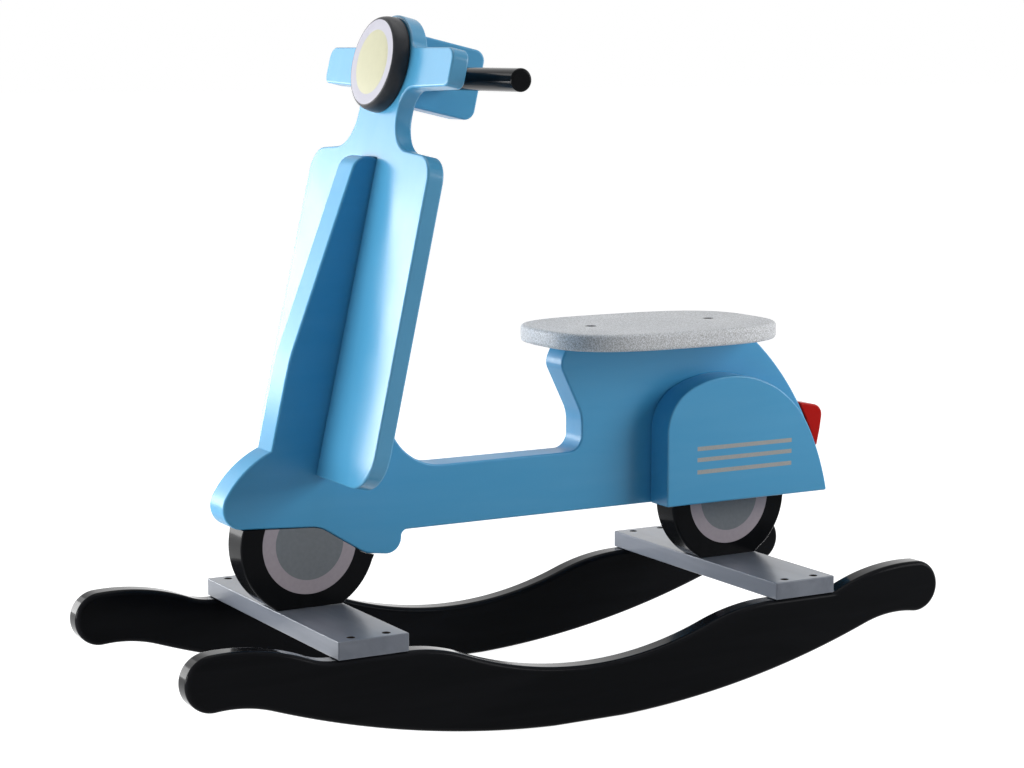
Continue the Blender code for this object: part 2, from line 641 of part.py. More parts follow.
def make_head():
    """Headlight in front of the head, handlebar block behind it, and the handlebar through the block."""
    centre = HANDLE_RADIUS + FIT_GAP
    low, high = -BLOCK_HEIGHT / 2, BLOCK_HEIGHT / 2
    rear = [(-BLOCK_LENGTH, high, BLOCK_CORNER_RADIUS), (-BLOCK_LENGTH, low, BLOCK_CORNER_RADIUS)]
    outline = rounded([(0, low, 0), (0, high, 0), *rear])
    block = board("handlebar_block", outline, PANEL_THICKNESS, BLUE_SATIN_PAINT, EDGE_EASE)
    turn = Matrix((OUT_OF_SHIELD, ALONG_SHIELD, Vector((0, 1, 0)))).transposed()
    face = -BOARD_THICKNESS - FIT_GAP
    block.matrix_world = Matrix.Translation(on_shield(HEAD_HEIGHT, face)) @ turn.to_4x4()
    pieces["handlebar_block"] = block
    half = HANDLE_LENGTH / 2
    profile = [
        (HANDLE_RADIUS - EDGE_EASE, -half),
        (HANDLE_RADIUS, -half + EDGE_EASE),
        (HANDLE_RADIUS, half - EDGE_EASE),
        (HANDLE_RADIUS - EDGE_EASE, half),
    ]
    handle = turned("handlebar", profile, BLACK_GLOSS_PAINT, 24)
    hole = turned("handlebar_hole", [(centre, -PANEL_THICKNESS), (centre, PANEL_THICKNESS)], None, 24)
    for thing in (handle, hole):
        point_along(thing, on_shield(HEAD_HEIGHT, face - BLOCK_LENGTH / 2), (0, 1, 0))
    cut(block, hole)
    for name, side in (("lower", -1), ("upper", 1)):
        screw(
            f"block_screw_{name}",
            on_shield(HEAD_HEIGHT + side * BLOCK_SCREW_SPACING / 2, 0),
            -OUT_OF_SHIELD,
            (pieces["shield_board"], block),
            WOOD_SCREW_HEAD_RADIUS,
            WOOD_SCREW_RADIUS,
            WOOD_SCREW_LENGTH,
            WOOD_SCREW_SINK / 3,
        )
    profile = [(HEADLIGHT_RADIUS, 0)]
    for x, y in arc((0, 0), 1, 0, math.pi / 2, ARC_STEP * 2):
        radius = HEADLIGHT_FACE_RADIUS + (HEADLIGHT_RADIUS - HEADLIGHT_FACE_RADIUS) * x
        profile.append((radius, HEADLIGHT_FOOT + (HEADLIGHT_THICKNESS - HEADLIGHT_FOOT) * y))
    lamp = turned("headlight", profile, DARK_GREY_PAINT, 48)
    lay_on_shield(lamp, HEAD_HEIGHT, FIT_GAP)
    pieces["headlight"] = lamp
    for name, side in (("left", -1), ("right", 1)):
        dowel(
            f"headlight_dowel_{name}",
            on_shield(HEAD_HEIGHT, 0, side * HEADLIGHT_DOWEL_SPACING / 2),
            OUT_OF_SHIELD,
            (pieces["shield_board"], lamp),
            SHORT_DOWEL_RADIUS,
            SHORT_DOWEL_LENGTH,
        )


def cowl_outline():
    """A side cowl: straight front and bottom edges, and a rear edge that follows the tail.

    At the top bearing the rear edge runs smoothly into the round top, and that into the nose.
    """
    tail = (TAIL_CENTRE_X, TAIL_CENTRE_Z)
    rear_radius = TAIL_RADIUS - COWL_INSET
    top = at_angle(tail, rear_radius - COWL_TOP_RADIUS, COWL_TOP_BEARING)
    nose_x = COWL_FRONT_X + COWL_NOSE_RADIUS
    nose_rise = math.sqrt((COWL_TOP_RADIUS - COWL_NOSE_RADIUS) ** 2 - (nose_x - top[0]) ** 2)
    nose = (nose_x, top[1] + nose_rise)
    low = math.asin((BODY_BOTTOM_Z - tail[1]) / rear_radius)
    points = [(COWL_FRONT_X, BODY_BOTTOM_Z)]
    points += arc(tail, rear_radius, low, COWL_TOP_BEARING, BROAD_ARC_STEP)
    points += arc(top, COWL_TOP_RADIUS, COWL_TOP_BEARING, bearing(top, nose), BROAD_ARC_STEP * 2)
    points += arc(nose, COWL_NOSE_RADIUS, bearing(top, nose), math.pi)
    return points


def make_cowls():
    """The thick side cowls, one on each face of the body's tail, on dowels that run through the body."""
    offset = PANEL_THICKNESS + FIT_GAP
    for name, side in (("cowl_left", -1), ("cowl_right", 1)):
        cowl = board(name, cowl_outline(), PANEL_THICKNESS, BLUE_SATIN_PAINT, EDGE_EASE)
        stand_up(cowl, y=side * offset)
        pieces[name] = cowl
    joined = (pieces["cowl_left"], pieces["body_panel"], pieces["cowl_right"])
    through = PANEL_THICKNESS + DOWEL_LENGTH
    middle = (COWL_FRONT_X + TAIL_CENTRE_X + TAIL_RADIUS) / 2
    for number, side in enumerate((-1, 1), 1):
        spot = Vector((middle + side * COWL_DOWEL_SPACING / 2, 0, BODY_BOTTOM_Z + COWL_DOWEL_RISE))
        dowel(f"cowl_dowel_{number}", spot, (0, 1, 0), joined, DOWEL_RADIUS, through)


def make_tail_light():
    """A red block fitted to the round of the body's rear edge, above the ends of the cowls."""
    centre = (TAIL_CENTRE_X, TAIL_CENTRE_Z)
    span = TAIL_LIGHT_HIGH_ANGLE - TAIL_LIGHT_LOW_ANGLE
    inner = arc(centre, TAIL_RADIUS + FIT_GAP, TAIL_LIGHT_HIGH_ANGLE, TAIL_LIGHT_LOW_ANGLE, BROAD_ARC_STEP)
    belly = at_angle(centre, TAIL_RADIUS + TAIL_LIGHT_REACH / 2, TAIL_LIGHT_LOW_ANGLE + span / 3)
    crown = at_angle(centre, TAIL_RADIUS + TAIL_LIGHT_REACH, TAIL_LIGHT_LOW_ANGLE + span * 2 / 3)
    back = [(*belly, TAIL_LIGHT_BELLY_RADIUS), (*crown, TAIL_LIGHT_CROWN_RADIUS)]
    corners = rounded([(*inner[-1], 0), *back, (*inner[0], 0)])
    light = board("tail_light", inner[:-1] + corners[:-1], PANEL_THICKNESS, RED_GLOSS_PAINT, EDGE_EASE)
    stand_up(light)
    pieces["tail_light"] = light
    angle = TAIL_LIGHT_LOW_ANGLE + span / 2
    x, z = at_angle(centre, TAIL_RADIUS, angle)
    spot = (x, 0, z)
    outward = (math.cos(angle), 0, math.sin(angle))
    joined = (light, pieces["body_panel"])
    dowel("tail_light_dowel", spot, outward, joined, SHORT_DOWEL_RADIUS, SHORT_DOWEL_LENGTH)


def make_seat():
    """The seat: a board with bluntly rounded ends, a superellipse from above."""
    power = 2 / SEAT_ROUNDNESS
    outline = []
    for i in range(SEAT_POINTS):
        angle = FULL_TURN * i / SEAT_POINTS
        c, s = math.cos(angle), math.sin(angle)
        x = SEAT_LENGTH / 2 * math.copysign(abs(c) ** power, c)
        y = SEAT_WIDTH / 2 * math.copysign(abs(s) ** power, s)
        outline.append((x, y))
    seat = board("seat_board", outline, BOARD_THICKNESS, SPECKLED_PALE_GREY, SEAT_EDGE_ROUND, 3)
    seat.location = (SEAT_CENTRE_X, 0, SEAT_BOTTOM_Z + BOARD_THICKNESS / 2)
    pieces["seat_board"] = seat
    for name, side in (("front", -1), ("rear", 1)):
        x = SEAT_SCREW_CENTRE_X + side * SEAT_SCREW_SPACING / 2
        screw(
            f"seat_screw_{name}",
            Vector((x, 0, SEAT_BOTTOM_Z + BOARD_THICKNESS)),
            (0, 0, -1),
            (seat, pieces["body_panel"]),
            PANEL_SCREW_HEAD_RADIUS,
            PANEL_SCREW_RADIUS,
            PANEL_SCREW_LENGTH,
            PANEL_SCREW_SINK,
        )


clear_scene()
toy = bpy.data.objects.new("rocking_scooter", None)
bpy.context.collection.objects.link(toy)
pieces = {}
make_rockers()
make_cross_boards()
clearance = make_body()
make_wheels(clearance)
make_shield()
make_head()
make_cowls()
make_tail_light()
make_seat()
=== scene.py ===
import math

import bpy
import numpy as np
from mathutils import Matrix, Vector, geometry


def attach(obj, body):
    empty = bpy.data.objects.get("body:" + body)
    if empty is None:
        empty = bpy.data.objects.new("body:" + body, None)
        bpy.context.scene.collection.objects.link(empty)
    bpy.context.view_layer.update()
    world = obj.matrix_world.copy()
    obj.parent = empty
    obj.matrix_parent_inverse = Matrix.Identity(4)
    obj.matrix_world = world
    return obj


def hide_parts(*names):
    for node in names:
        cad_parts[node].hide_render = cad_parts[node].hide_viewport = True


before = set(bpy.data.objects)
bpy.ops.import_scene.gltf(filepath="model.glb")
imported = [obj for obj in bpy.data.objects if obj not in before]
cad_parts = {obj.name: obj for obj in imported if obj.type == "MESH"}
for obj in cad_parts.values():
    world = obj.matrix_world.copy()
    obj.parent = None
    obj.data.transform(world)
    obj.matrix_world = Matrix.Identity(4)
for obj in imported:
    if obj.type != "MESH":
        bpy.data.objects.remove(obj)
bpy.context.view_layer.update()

# Camera and room. The toy stands on a pale floor in a white room, seen from its front left corner with a
# long lens. Two softboxes on the front far side and a low one in front light the faces that look forward,
# one behind on the near side lights the flanks and one overhead the tops. The room's white is only seen.
camera = bpy.data.objects.new("camera", bpy.data.cameras.new("camera"))
camera.data.sensor_width = 36
camera.data.lens = 84.18
camera.location = (-1.0851, -1.8881, 0.5877)
camera.rotation_euler = (math.radians(82.053), 0, math.radians(-29.771))
bpy.context.collection.objects.link(camera)
bpy.context.scene.camera = camera
bpy.context.scene.view_settings.view_transform = "Standard"

toy_middle = Vector((0.0, 0.0, 0.3))


def softbox(name, place, width, height, watts):
    """A rectangular studio lamp at a place, turned to face the middle of the toy."""
    lamp = bpy.data.objects.new(name, bpy.data.lights.new(name, "AREA"))
    lamp.data.shape = "RECTANGLE"
    lamp.data.size = width
    lamp.data.size_y = height
    lamp.data.energy = watts
    lamp.location = place
    lamp.rotation_euler = (toy_middle - Vector(place)).to_track_quat("-Z", "Y").to_euler()
    lamp.visible_camera = False
    bpy.context.collection.objects.link(lamp)


softbox("far_front_softbox", (-1.4, 2.0, 0.9), 1.8, 1.8, 17)
softbox("low_far_softbox", (-1.6, 1.9, 0.45), 1.6, 0.8, 25)
softbox("low_front_softbox", (-2.0, 0.6, 0.35), 1.2, 0.7, 31)
softbox("near_softbox", (2.2, -1.6, 1.1), 1.6, 1.4, 48)
softbox("overhead_softbox", (0.2, 0.1, 2.3), 1.8, 1.4, 15)


def node(tree, kind, **settings):
    """A new node in a tree, with its properties and, by number or name, its inputs set or linked."""
    made = tree.nodes.new(kind)
    feeds = settings.pop("feeds", {})
    for key, value in settings.items():
        setattr(made, key, value)
    for key, value in feeds.items():
        if isinstance(value, bpy.types.NodeSocket):
            tree.links.new(value, made.inputs[key])
        else:
            made.inputs[key].default_value = value
    return made


def maths(tree, operation, first, second, **settings):
    """The value of a two-sided sum, product or choice."""
    return node(tree, "ShaderNodeMath", operation=operation, feeds={0: first, 1: second}, **settings).outputs[0]


def lit_or_seen(tree, lit, seen):
    """The seen shader for a ray from the camera, from a gloss or through glass, otherwise the lit one."""
    ray = node(tree, "ShaderNodeLightPath").outputs
    camera_or_gloss = maths(tree, "MAXIMUM", ray["Is Camera Ray"], ray["Is Glossy Ray"])
    any_of_them = maths(tree, "MAXIMUM", camera_or_gloss, ray["Is Transmission Ray"])
    feeds = {0: any_of_them, 1: lit.outputs[0], 2: seen.outputs[0]}
    return node(tree, "ShaderNodeMixShader", feeds=feeds).outputs[0]


world = bpy.data.worlds.new("white_room")
bpy.context.scene.world = world
world.use_nodes = True
room = world.node_tree
room.nodes.clear()
room_light = node(room, "ShaderNodeBackground", feeds={"Color": (0.93, 0.97, 1.0, 1), "Strength": 0.09})
room_white = node(room, "ShaderNodeBackground", feeds={"Color": (1, 1, 1, 1), "Strength": 1.0})
node(room, "ShaderNodeOutputWorld", feeds={0: lit_or_seen(room, room_light, room_white)})

floor_paper = bpy.data.materials.new("floor_paper")
floor_paper.use_nodes = True
paper = floor_paper.node_tree
paper.nodes.clear()
paper_lit = node(paper, "ShaderNodeBsdfDiffuse", feeds={"Color": (0.8, 0.8, 0.8, 1)})
paper_shade = node(paper, "ShaderNodeBsdfDiffuse", feeds={"Color": (0.45, 0.45, 0.45, 1)})
paper_white = node(paper, "ShaderNodeEmission", feeds={"Color": (0.97, 0.97, 0.97, 1)})
paper_seen = node(paper, "ShaderNodeAddShader", feeds={0: paper_shade.outputs[0], 1: paper_white.outputs[0]})
node(paper, "ShaderNodeOutputMaterial", feeds={0: lit_or_seen(paper, paper_lit, paper_seen)})
floor_half = 30
floor_mesh = bpy.data.meshes.new("floor")
floor_corners = [(x * floor_half, y * floor_half, 0) for x, y in ((-1, -1), (1, -1), (1, 1), (-1, 1))]
floor_mesh.from_pydata(floor_corners, [], [(0, 1, 2, 3)])
floor_mesh.materials.append(floor_paper)
floor = bpy.data.objects.new("floor", floor_mesh)
bpy.context.collection.objects.link(floor)

# Rockers: two beech boards on edge, cut to one curve, with the edges rounded by a router, sprayed gloss
# black. They are drawn from the side in millimetres, from the dip in the middle out to each end. The
# hollow before the front cross board is a softer sweep than the one behind the rear board.
FIT_GAP = 0.3
MM = 0.001
rocker_length = 771
rocker_thickness = 21
rocker_rounding = 4.5
rocker_y = 129.5
end_radius, end_height = 24.3, 80.5
crest_radius = 200
hollow_radius = 120
underside_radius, underside_low_x, rest_flat = 925, -5, 70
pad_height, front_fillet, rear_fillet = 86, 65, 15
dip_depth, dip_radius = 35, 350
cross_board_width = 66
front_board_x, rear_board_x = -217.5, 228
DOWN, UP = -math.pi / 2, math.pi / 2


def arc(centre, radius, start, end, step=0.035):
    """Points on a circle: centre + radius * (cos t, sin t), with t running evenly from start to end."""
    t = np.linspace(start, end, max(2, math.ceil(abs(end - start) / step) + 1))
    return np.column_stack((centre[0] + radius * np.cos(t), centre[1] + radius * np.sin(t)))


def bearing(centre, point):
    """The angle of the line from a centre to a point."""
    return math.atan2(point[1] - centre[1], point[0] - centre[0])


def circle_crossing(a, radius_a, b, radius_b):
    """Where two circles cross, on the left of the way from a to b: their radical line meets the first."""
    apart = math.dist(a, b)
    along = (apart**2 + radius_a**2 - radius_b**2) / (2 * apart)
    off = math.sqrt(radius_a**2 - along**2)
    ux, uy = (b[0] - a[0]) / apart, (b[1] - a[1]) / apart
    return a[0] + along * ux - off * uy, a[1] + along * uy + off * ux


def rounded(corners):
    """An outline through corners (x, y, radius): each becomes the arc that touches both its edges."""
    spots = np.array([corner[:2] for corner in corners], float)
    runs = []
    for before, spot, after, corner in zip(np.roll(spots, 1, 0), spots, np.roll(spots, -1, 0), corners):
        radius = corner[2]
        if not radius:
            runs.append(spot[None])
            continue
        back = (before - spot) / np.linalg.norm(before - spot)
        onward = (after - spot) / np.linalg.norm(after - spot)
        half = math.acos(np.clip(back @ onward, -1, 1)) / 2
        centre = spot + (back + onward) / np.linalg.norm(back + onward) * radius / math.sin(half)
        first = bearing(centre, spot + back * radius / math.tan(half))
        last = bearing(centre, spot + onward * radius / math.tan(half))
        turn = (last - first + math.pi) % (2 * math.pi) - math.pi
        runs.append(arc(centre, radius, first, first + turn, 0.09))
    return np.vstack(runs)


def rocker_half(side):
    """The outline from the middle of the dip over the pad and crest, round the end, to the rest flat.

    Every arc touches the next one: dip, counter-arc, pad fillet, crest, end, hollow, underside.
    """
    board_x = front_board_x if side < 0 else rear_board_x
    pad_start = abs(board_x) - cross_board_width / 2
    rise = dip_radius - dip_depth
    counter_radius = (rise**2 + pad_start**2 - dip_radius**2) / (2 * (dip_radius - rise))
    dip_centre = (0, pad_height - dip_depth + dip_radius)
    counter_centre = (pad_start, pad_height - counter_radius)
    lean = math.atan2(pad_start, dip_centre[1] - counter_centre[1])
    end = (rocker_length / 2 - end_radius, end_height)
    pad_fillet = front_fillet if side < 0 else rear_fillet
    pad_end = (abs(board_x) + cross_board_width / 2 + FIT_GAP, pad_height + pad_fillet)
    crest = circle_crossing(end, crest_radius - end_radius, pad_end, crest_radius + pad_fillet)
    flat_angle = math.asin(rest_flat / 2 / underside_radius)
    under = (side * underside_low_x, underside_radius * math.cos(flat_angle))
    hollow = circle_crossing(end, end_radius + hollow_radius, under, underside_radius + hollow_radius)
    half = np.vstack(
        (
            arc(dip_centre, dip_radius, DOWN, DOWN + lean, 0.01),
            arc(counter_centre, counter_radius, UP + lean, UP, 0.02)[1:],
            arc(pad_end, pad_fillet, DOWN, bearing(pad_end, crest))[:-1],
            arc(crest, crest_radius, bearing(crest, pad_end), bearing(crest, end), 0.015),
            arc(end, end_radius, bearing(crest, end), bearing(end, hollow))[1:-1],
            arc(hollow, hollow_radius, bearing(hollow, end), bearing(hollow, under), 0.02),
            arc(under, underside_radius, bearing(under, hollow), DOWN + flat_angle, 0.005)[1:],
        )
    )
    return half * (side, 1)


def upright(x=0, y=0, z=0):
    """The frame of a board drawn in XZ: its first axis is +X, its second +Z and its face looks to -Y."""
    return np.array(((1, 0, 0, x), (0, 0, -1, y), (0, 1, 0, z)), float)


def level(x=0, y=0, z=0):
    """The frame of a board drawn from above, its face looking up."""
    return np.array(((1, 0, 0, x), (0, 1, 0, y), (0, 0, 1, z)), float)


def flat_face(loops):
    """Triangles that fill the first loop and leave out the loops inside it, by constrained Delaunay."""
    points = np.vstack(loops)
    starts = np.cumsum([0] + [len(loop) for loop in loops])
    ring_of = np.repeat(np.arange(len(loops)), [len(loop) for loop in loops])
    index = np.arange(len(points))
    following = index + 1
    following[starts[1:] - 1] = starts[:-1]
    edges = np.column_stack((index, following)).tolist()
    corners = [Vector(point) for point in points]
    filled = geometry.delaunay_2d_cdt(corners, edges, [], 1, 1e-7)
    origin = np.array([source[0] for source in filled[3]])
    triangles = origin[np.array(filled[2])]
    rings = ring_of[triangles]
    in_hole = (rings[:, 0] > 0) & (rings[:, 0] == rings[:, 1]) & (rings[:, 1] == rings[:, 2])
    return triangles[~in_hole]


def strip(rows, columns, first=0):
    """Quads of a grid of points whose rows close on themselves, as indices that begin at first."""
    v, u = np.meshgrid(np.arange(rows - 1), np.arange(columns), indexing="ij")
    here, below = first + v * columns + u, first + (v + 1) * columns + u
    on = (u + 1) % columns
    quads = (here, below, first + (v + 1) * columns + on, first + v * columns + on)
    return np.stack(quads, axis=-1).reshape(-1, 4)


def make_piece(name, points, faces, normals, finish, edge=None):
    """A mesh object at the origin from millimetre points, faces and the surface's own normals."""
    mesh = bpy.data.meshes.new(name)
    mesh.from_pydata((points * MM).tolist(), [], faces)
    mesh.polygons.foreach_set("use_smooth", np.ones(len(faces), bool))
    if edge is not None:
        mesh.attributes.new("edge", "FLOAT", "POINT").data.foreach_set("value", edge.astype(np.float32))
    mesh.normals_split_custom_set_from_vertices(normals.tolist())
    mesh.materials.append(finish)
    piece = bpy.data.objects.new(name, mesh)
    bpy.context.collection.objects.link(piece)
    return piece


def board(name, outline, thickness, rounding, place, finish, holes=()):
    """Flat stock cut to a closed anticlockwise outline p(u), with its edges rounded by rounding(u).

    The rim is p(u) + n(u) * r(u) * (cos f - 1) at the height +-(thickness / 2 - r(u) * (1 - sin f)), with
    f from 90 degrees on each face to 0 on the rim, and n(u) the outline's outward normal. A hole is a
    circle swept down its own (radius, height) profile, from one face to the other. The edge attribute
    is 1 in the middle of a rounding, 0 on the faces and -1 inside a hole.
    """
    ahead, behind = np.roll(outline, -1, 0) - outline, outline - np.roll(outline, 1, 0)
    ahead /= np.linalg.norm(ahead, axis=1)[:, None]
    behind /= np.linalg.norm(behind, axis=1)[:, None]
    tangent = ahead + behind
    tangent /= np.linalg.norm(tangent, axis=1)[:, None]
    outward = np.column_stack((tangent[:, 1], -tangent[:, 0]))
    radius = np.broadcast_to(np.asarray(rounding, float), (len(outline),))
    bend = np.concatenate((np.linspace(UP, 0, 7), np.linspace(0, DOWN, 7)))[:, None]
    top_half = (np.arange(14) < 7)[:, None]
    height = np.where(top_half, 1, -1) * (thickness / 2 - radius) + radius * np.sin(bend)
    inset = radius * (np.cos(bend) - 1)
    flat = outline[None] + outward[None] * inset[..., None]
    points = np.dstack((flat, height)).reshape(-1, 3)
    normals = np.dstack((outward[None] * np.cos(bend)[..., None], np.broadcast_to(np.sin(bend), height.shape)))
    normals = normals.reshape(-1, 3)
    edge = np.broadcast_to(np.sin(2 * np.abs(bend)), height.shape).ravel()
    faces = strip(14, len(outline)).tolist()
    top_loops, top_index = [flat[0]], [np.arange(len(outline))]
    low_loops, low_index = [flat[-1]], [np.arange(len(outline)) + 13 * len(outline)]
    for centre, profile in holes:
        turn = np.linspace(0, -2 * math.pi, 32, endpoint=False)
        ring = np.column_stack((np.cos(turn), np.sin(turn)))
        profile = np.array(profile, float)
        sweep = np.asarray(centre, float) + ring[None] * profile[:, :1, None]
        wall = np.dstack((sweep, np.broadcast_to(profile[:, 1:], sweep.shape[:2])))
        slope = np.gradient(profile, axis=0)
        slope /= np.linalg.norm(slope, axis=1)[:, None]
        facing = np.dstack((ring[None] * slope[:, 1:, None], np.broadcast_to(-slope[:, :1], sweep.shape[:2])))
        facing[0], facing[-1] = (0, 0, 1), (0, 0, -1)
        first = len(points)
        faces += strip(len(profile), 32, first).tolist()
        top_loops.append(sweep[0])
        top_index.append(first + np.arange(32))
        low_loops.append(sweep[-1])
        low_index.append(first + (len(profile) - 1) * 32 + np.arange(32))
        points = np.vstack((points, wall.reshape(-1, 3)))
        normals = np.vstack((normals, facing.reshape(-1, 3)))
        depth = np.minimum(np.arange(len(profile)), np.arange(len(profile))[::-1])
        edge = np.concatenate((edge, np.repeat(np.where(depth > 1, -1.0, 0.0), 32)))
    faces += np.concatenate(top_index)[flat_face(top_loops)].tolist()
    faces += np.concatenate(low_index)[flat_face(low_loops)][:, ::-1].tolist()
    turned = points @ place[:, :3].T + place[:, 3]
    return make_piece(name, turned, faces, normals @ place[:, :3].T, finish, edge)


def value_group(name, inputs, outputs):
    """An empty shader node group with its named inputs and outputs, ready to be wired."""
    group = bpy.data.node_groups.new(name, "ShaderNodeTree")
    for label, kind, value in inputs:
        socket = group.interface.new_socket(label, in_out="INPUT", socket_type=kind)
        if value is not None:
            socket.default_value = value
    for label, kind in outputs:
        group.interface.new_socket(label, in_out="OUTPUT", socket_type=kind)
    return group, group.nodes.new("NodeGroupInput"), group.nodes.new("NodeGroupOutput")


def noise(tree, place, scale, detail, **more):
    """A noise value at a place in metres, between 0 and 1."""
    feeds = {"Vector": place, "Scale": scale, "Detail": detail, **more}
    return node(tree, "ShaderNodeTexNoise", feeds=feeds).outputs[0]


def ramp(tree, value, low, high, start=0.0, end=1.0, **settings):
    """A value carried from the span low to high onto the span start to end, and held at both ends."""
    feeds = {"Value": value, "From Min": low, "From Max": high, "To Min": start, "To Max": end}
    return node(tree, "ShaderNodeMapRange", feeds=feeds, **settings).outputs[0]


def blend(tree, share, under, over):
    """The colour that goes from one to another as a share goes from 0 to 1."""
    feeds = {0: share, 6: under, 7: over}
    return node(tree, "ShaderNodeMix", data_type="RGBA", feeds=feeds).outputs[2]


def principled(name):
    """A new material, its node tree and its Principled shader."""
    finish = bpy.data.materials.new(name)
    finish.use_nodes = True
    return finish, finish.node_tree, finish.node_tree.nodes["Principled BSDF"]


# The sprayed paint, used on every painted piece: the coat thins and lightens along the rounded edges,
# the wood's grain stands faintly through it, and handling leaves patches that are a little less glossy.
# Inside the holes the colour turns to bare wood, darkened far below the wood's own colour as painted shade.
# With that drift each paint's roughness stays on one side of 0.274: patches that crossed it had outlines
# drawn round them, it seems because the denoiser treats gloss below that as a mirror.
sprayed, given, result = value_group(
    "sprayed_paint",
    (
        ("Paint", "NodeSocketColor", None),
        ("Thin Coat", "NodeSocketColor", None),
        ("Edge Wear", "NodeSocketFloat", 0.5),
        ("Grain Stretch", "NodeSocketVector", (1, 1, 1)),
        ("Grain", "NodeSocketFloat", 0.5),
        ("Roughness", "NodeSocketFloat", 0.4),
    ),
    (("Color", "NodeSocketColor"), ("Roughness", "NodeSocketFloat"), ("Height", "NodeSocketFloat")),
)
place_on_piece = node(sprayed, "ShaderNodeTexCoord").outputs["Object"]
stretched = node(
    sprayed,
    "ShaderNodeVectorMath",
    operation="MULTIPLY",
    feeds={0: place_on_piece, 1: given.outputs["Grain Stretch"]},
).outputs[0]
fibre = noise(sprayed, stretched, 420.0, 5.0)
figure = noise(sprayed, stretched, 60.0, 3.0, Distortion=0.6)
patches = noise(sprayed, place_on_piece, 16.0, 3.0)
stipple = noise(sprayed, place_on_piece, 900.0, 1.0)
edge_run = node(sprayed, "ShaderNodeAttribute", attribute_name="edge").outputs["Fac"]
edge_break = ramp(sprayed, patches, 0.35, 0.7, 0.25, 1.0)
edge_amount = maths(sprayed, "MULTIPLY", edge_run, edge_break)
edge_mask = maths(sprayed, "MULTIPLY", edge_amount, given.outputs["Edge Wear"], use_clamp=True)
tone = ramp(sprayed, figure, 0.15, 0.85, interpolation_type="SMOOTHERSTEP")
tone_amount = maths(sprayed, "MULTIPLY", tone, given.outputs["Grain"])
tone_mask = maths(sprayed, "MULTIPLY", tone_amount, 0.3)
paint_on_grain = blend(sprayed, tone_mask, given.outputs["Paint"], given.outputs["Thin Coat"])
paint_at_edges = blend(sprayed, edge_mask, paint_on_grain, given.outputs["Thin Coat"])
sheen_drift = ramp(sprayed, patches, 0.2, 0.8, -0.03, 0.05, interpolation_type="SMOOTHERSTEP")
roughness_sum = maths(sprayed, "ADD", given.outputs["Roughness"], sheen_drift)
fibre_relief = maths(sprayed, "MULTIPLY", fibre, given.outputs["Grain"])
stipple_relief = maths(sprayed, "MULTIPLY", stipple, 0.25)
relief = maths(sprayed, "ADD", fibre_relief, stipple_relief)
# Inside a hole the paint gives way to bare wood, coloured much darker than the wood itself: painted shade for
# the deep recess.
wood_and_shade_in_hole = (0.035, 0.027, 0.02, 1)
in_hole = ramp(sprayed, edge_run, -0.2, -0.9)
paint_or_shaded_wood = blend(sprayed, in_hole, paint_at_edges, wood_and_shade_in_hole)
sprayed.links.new(paint_or_shaded_wood, result.inputs["Color"])
sprayed.links.new(roughness_sum, result.inputs["Roughness"])
sprayed.links.new(relief, result.inputs["Height"])


def painted(
    name, paint, thin_coat, roughness, gloss, wear, grain, stretch, relief_depth=0.02, cover=None, lacquer=0
):
    """A Principled paint fed by the sprayed_paint group, with a lacquer that shows at grazing angles.

    cover is a function of the tree and the paint's colour socket that puts a printed mark over the paint.
    """
    finish, tree, shader = principled(name)
    shader.inputs["Specular IOR Level"].default_value = gloss
    if lacquer:
        facing = node(tree, "ShaderNodeLayerWeight").outputs["Facing"]
        film = ramp(tree, facing, 0.5, 0.9, 0.0, lacquer)
        tree.links.new(film, shader.inputs["Coat Weight"])
        shader.inputs["Coat Roughness"].default_value = roughness * 0.6
    coat = node(tree, "ShaderNodeGroup", node_tree=sprayed)
    coat.inputs["Paint"].default_value = (*paint, 1)
    coat.inputs["Thin Coat"].default_value = (*thin_coat, 1)
    coat.inputs["Edge Wear"].default_value = wear
    coat.inputs["Grain Stretch"].default_value = stretch
    coat.inputs["Grain"].default_value = grain
    coat.inputs["Roughness"].default_value = roughness
    colour = coat.outputs["Color"]
    if cover:
        colour = cover(tree, colour)
    tree.links.new(colour, shader.inputs["Base Color"])
    tree.links.new(coat.outputs["Roughness"], shader.inputs["Roughness"])
    feeds = {"Height": coat.outputs["Height"], "Strength": 0.35, "Distance": relief_depth * MM}
    bump = node(tree, "ShaderNodeBump", feeds=feeds)
    tree.links.new(bump.outputs[0], shader.inputs["Normal"])
    return finish


along_x, along_y, along_z = (0.12, 1, 1), (1, 0.12, 1), (1, 1, 0.12)
rocker_black = painted(
    "gloss_black_paint",
    paint=(0.004, 0.0045, 0.0055),
    thin_coat=(0.03, 0.03, 0.035),
    roughness=0.13,
    gloss=0.03,
    wear=0.35,
    grain=0.35,
    stretch=along_x,
    relief_depth=0.03,
    lacquer=0.9,
)
rocker_outline = np.vstack((rocker_half(-1), rocker_half(1)[::-1][:-1]))
for name, side in (("rocker_left", -1), ("rocker_right", 1)):
    rocker = board(
        f"{name}_board",
        rocker_outline,
        rocker_thickness,
        rocker_rounding,
        upright(y=side * rocker_y),
        rocker_black,
    )
    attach(rocker, "root")
    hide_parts(name)

# Cross boards: two short planks screwed flat across the rockers, painted silver grey, thinly enough that
# the grain still shows. Each has four countersunk holes above the rockers and two from below.
cross_board_length = 280
board_thickness = 16
board_bottom = pad_height + FIT_GAP
board_middle = board_bottom + board_thickness / 2
rocker_screw_spacing, wheel_screw_spacing = 33, 36
wood_screw, panel_screw = (3.5, 2, 3), (5, 3.2, 4)  # head radius, shank radius, depth of the head's top
plank_corner, plank_rounding = 1.2, 1.0


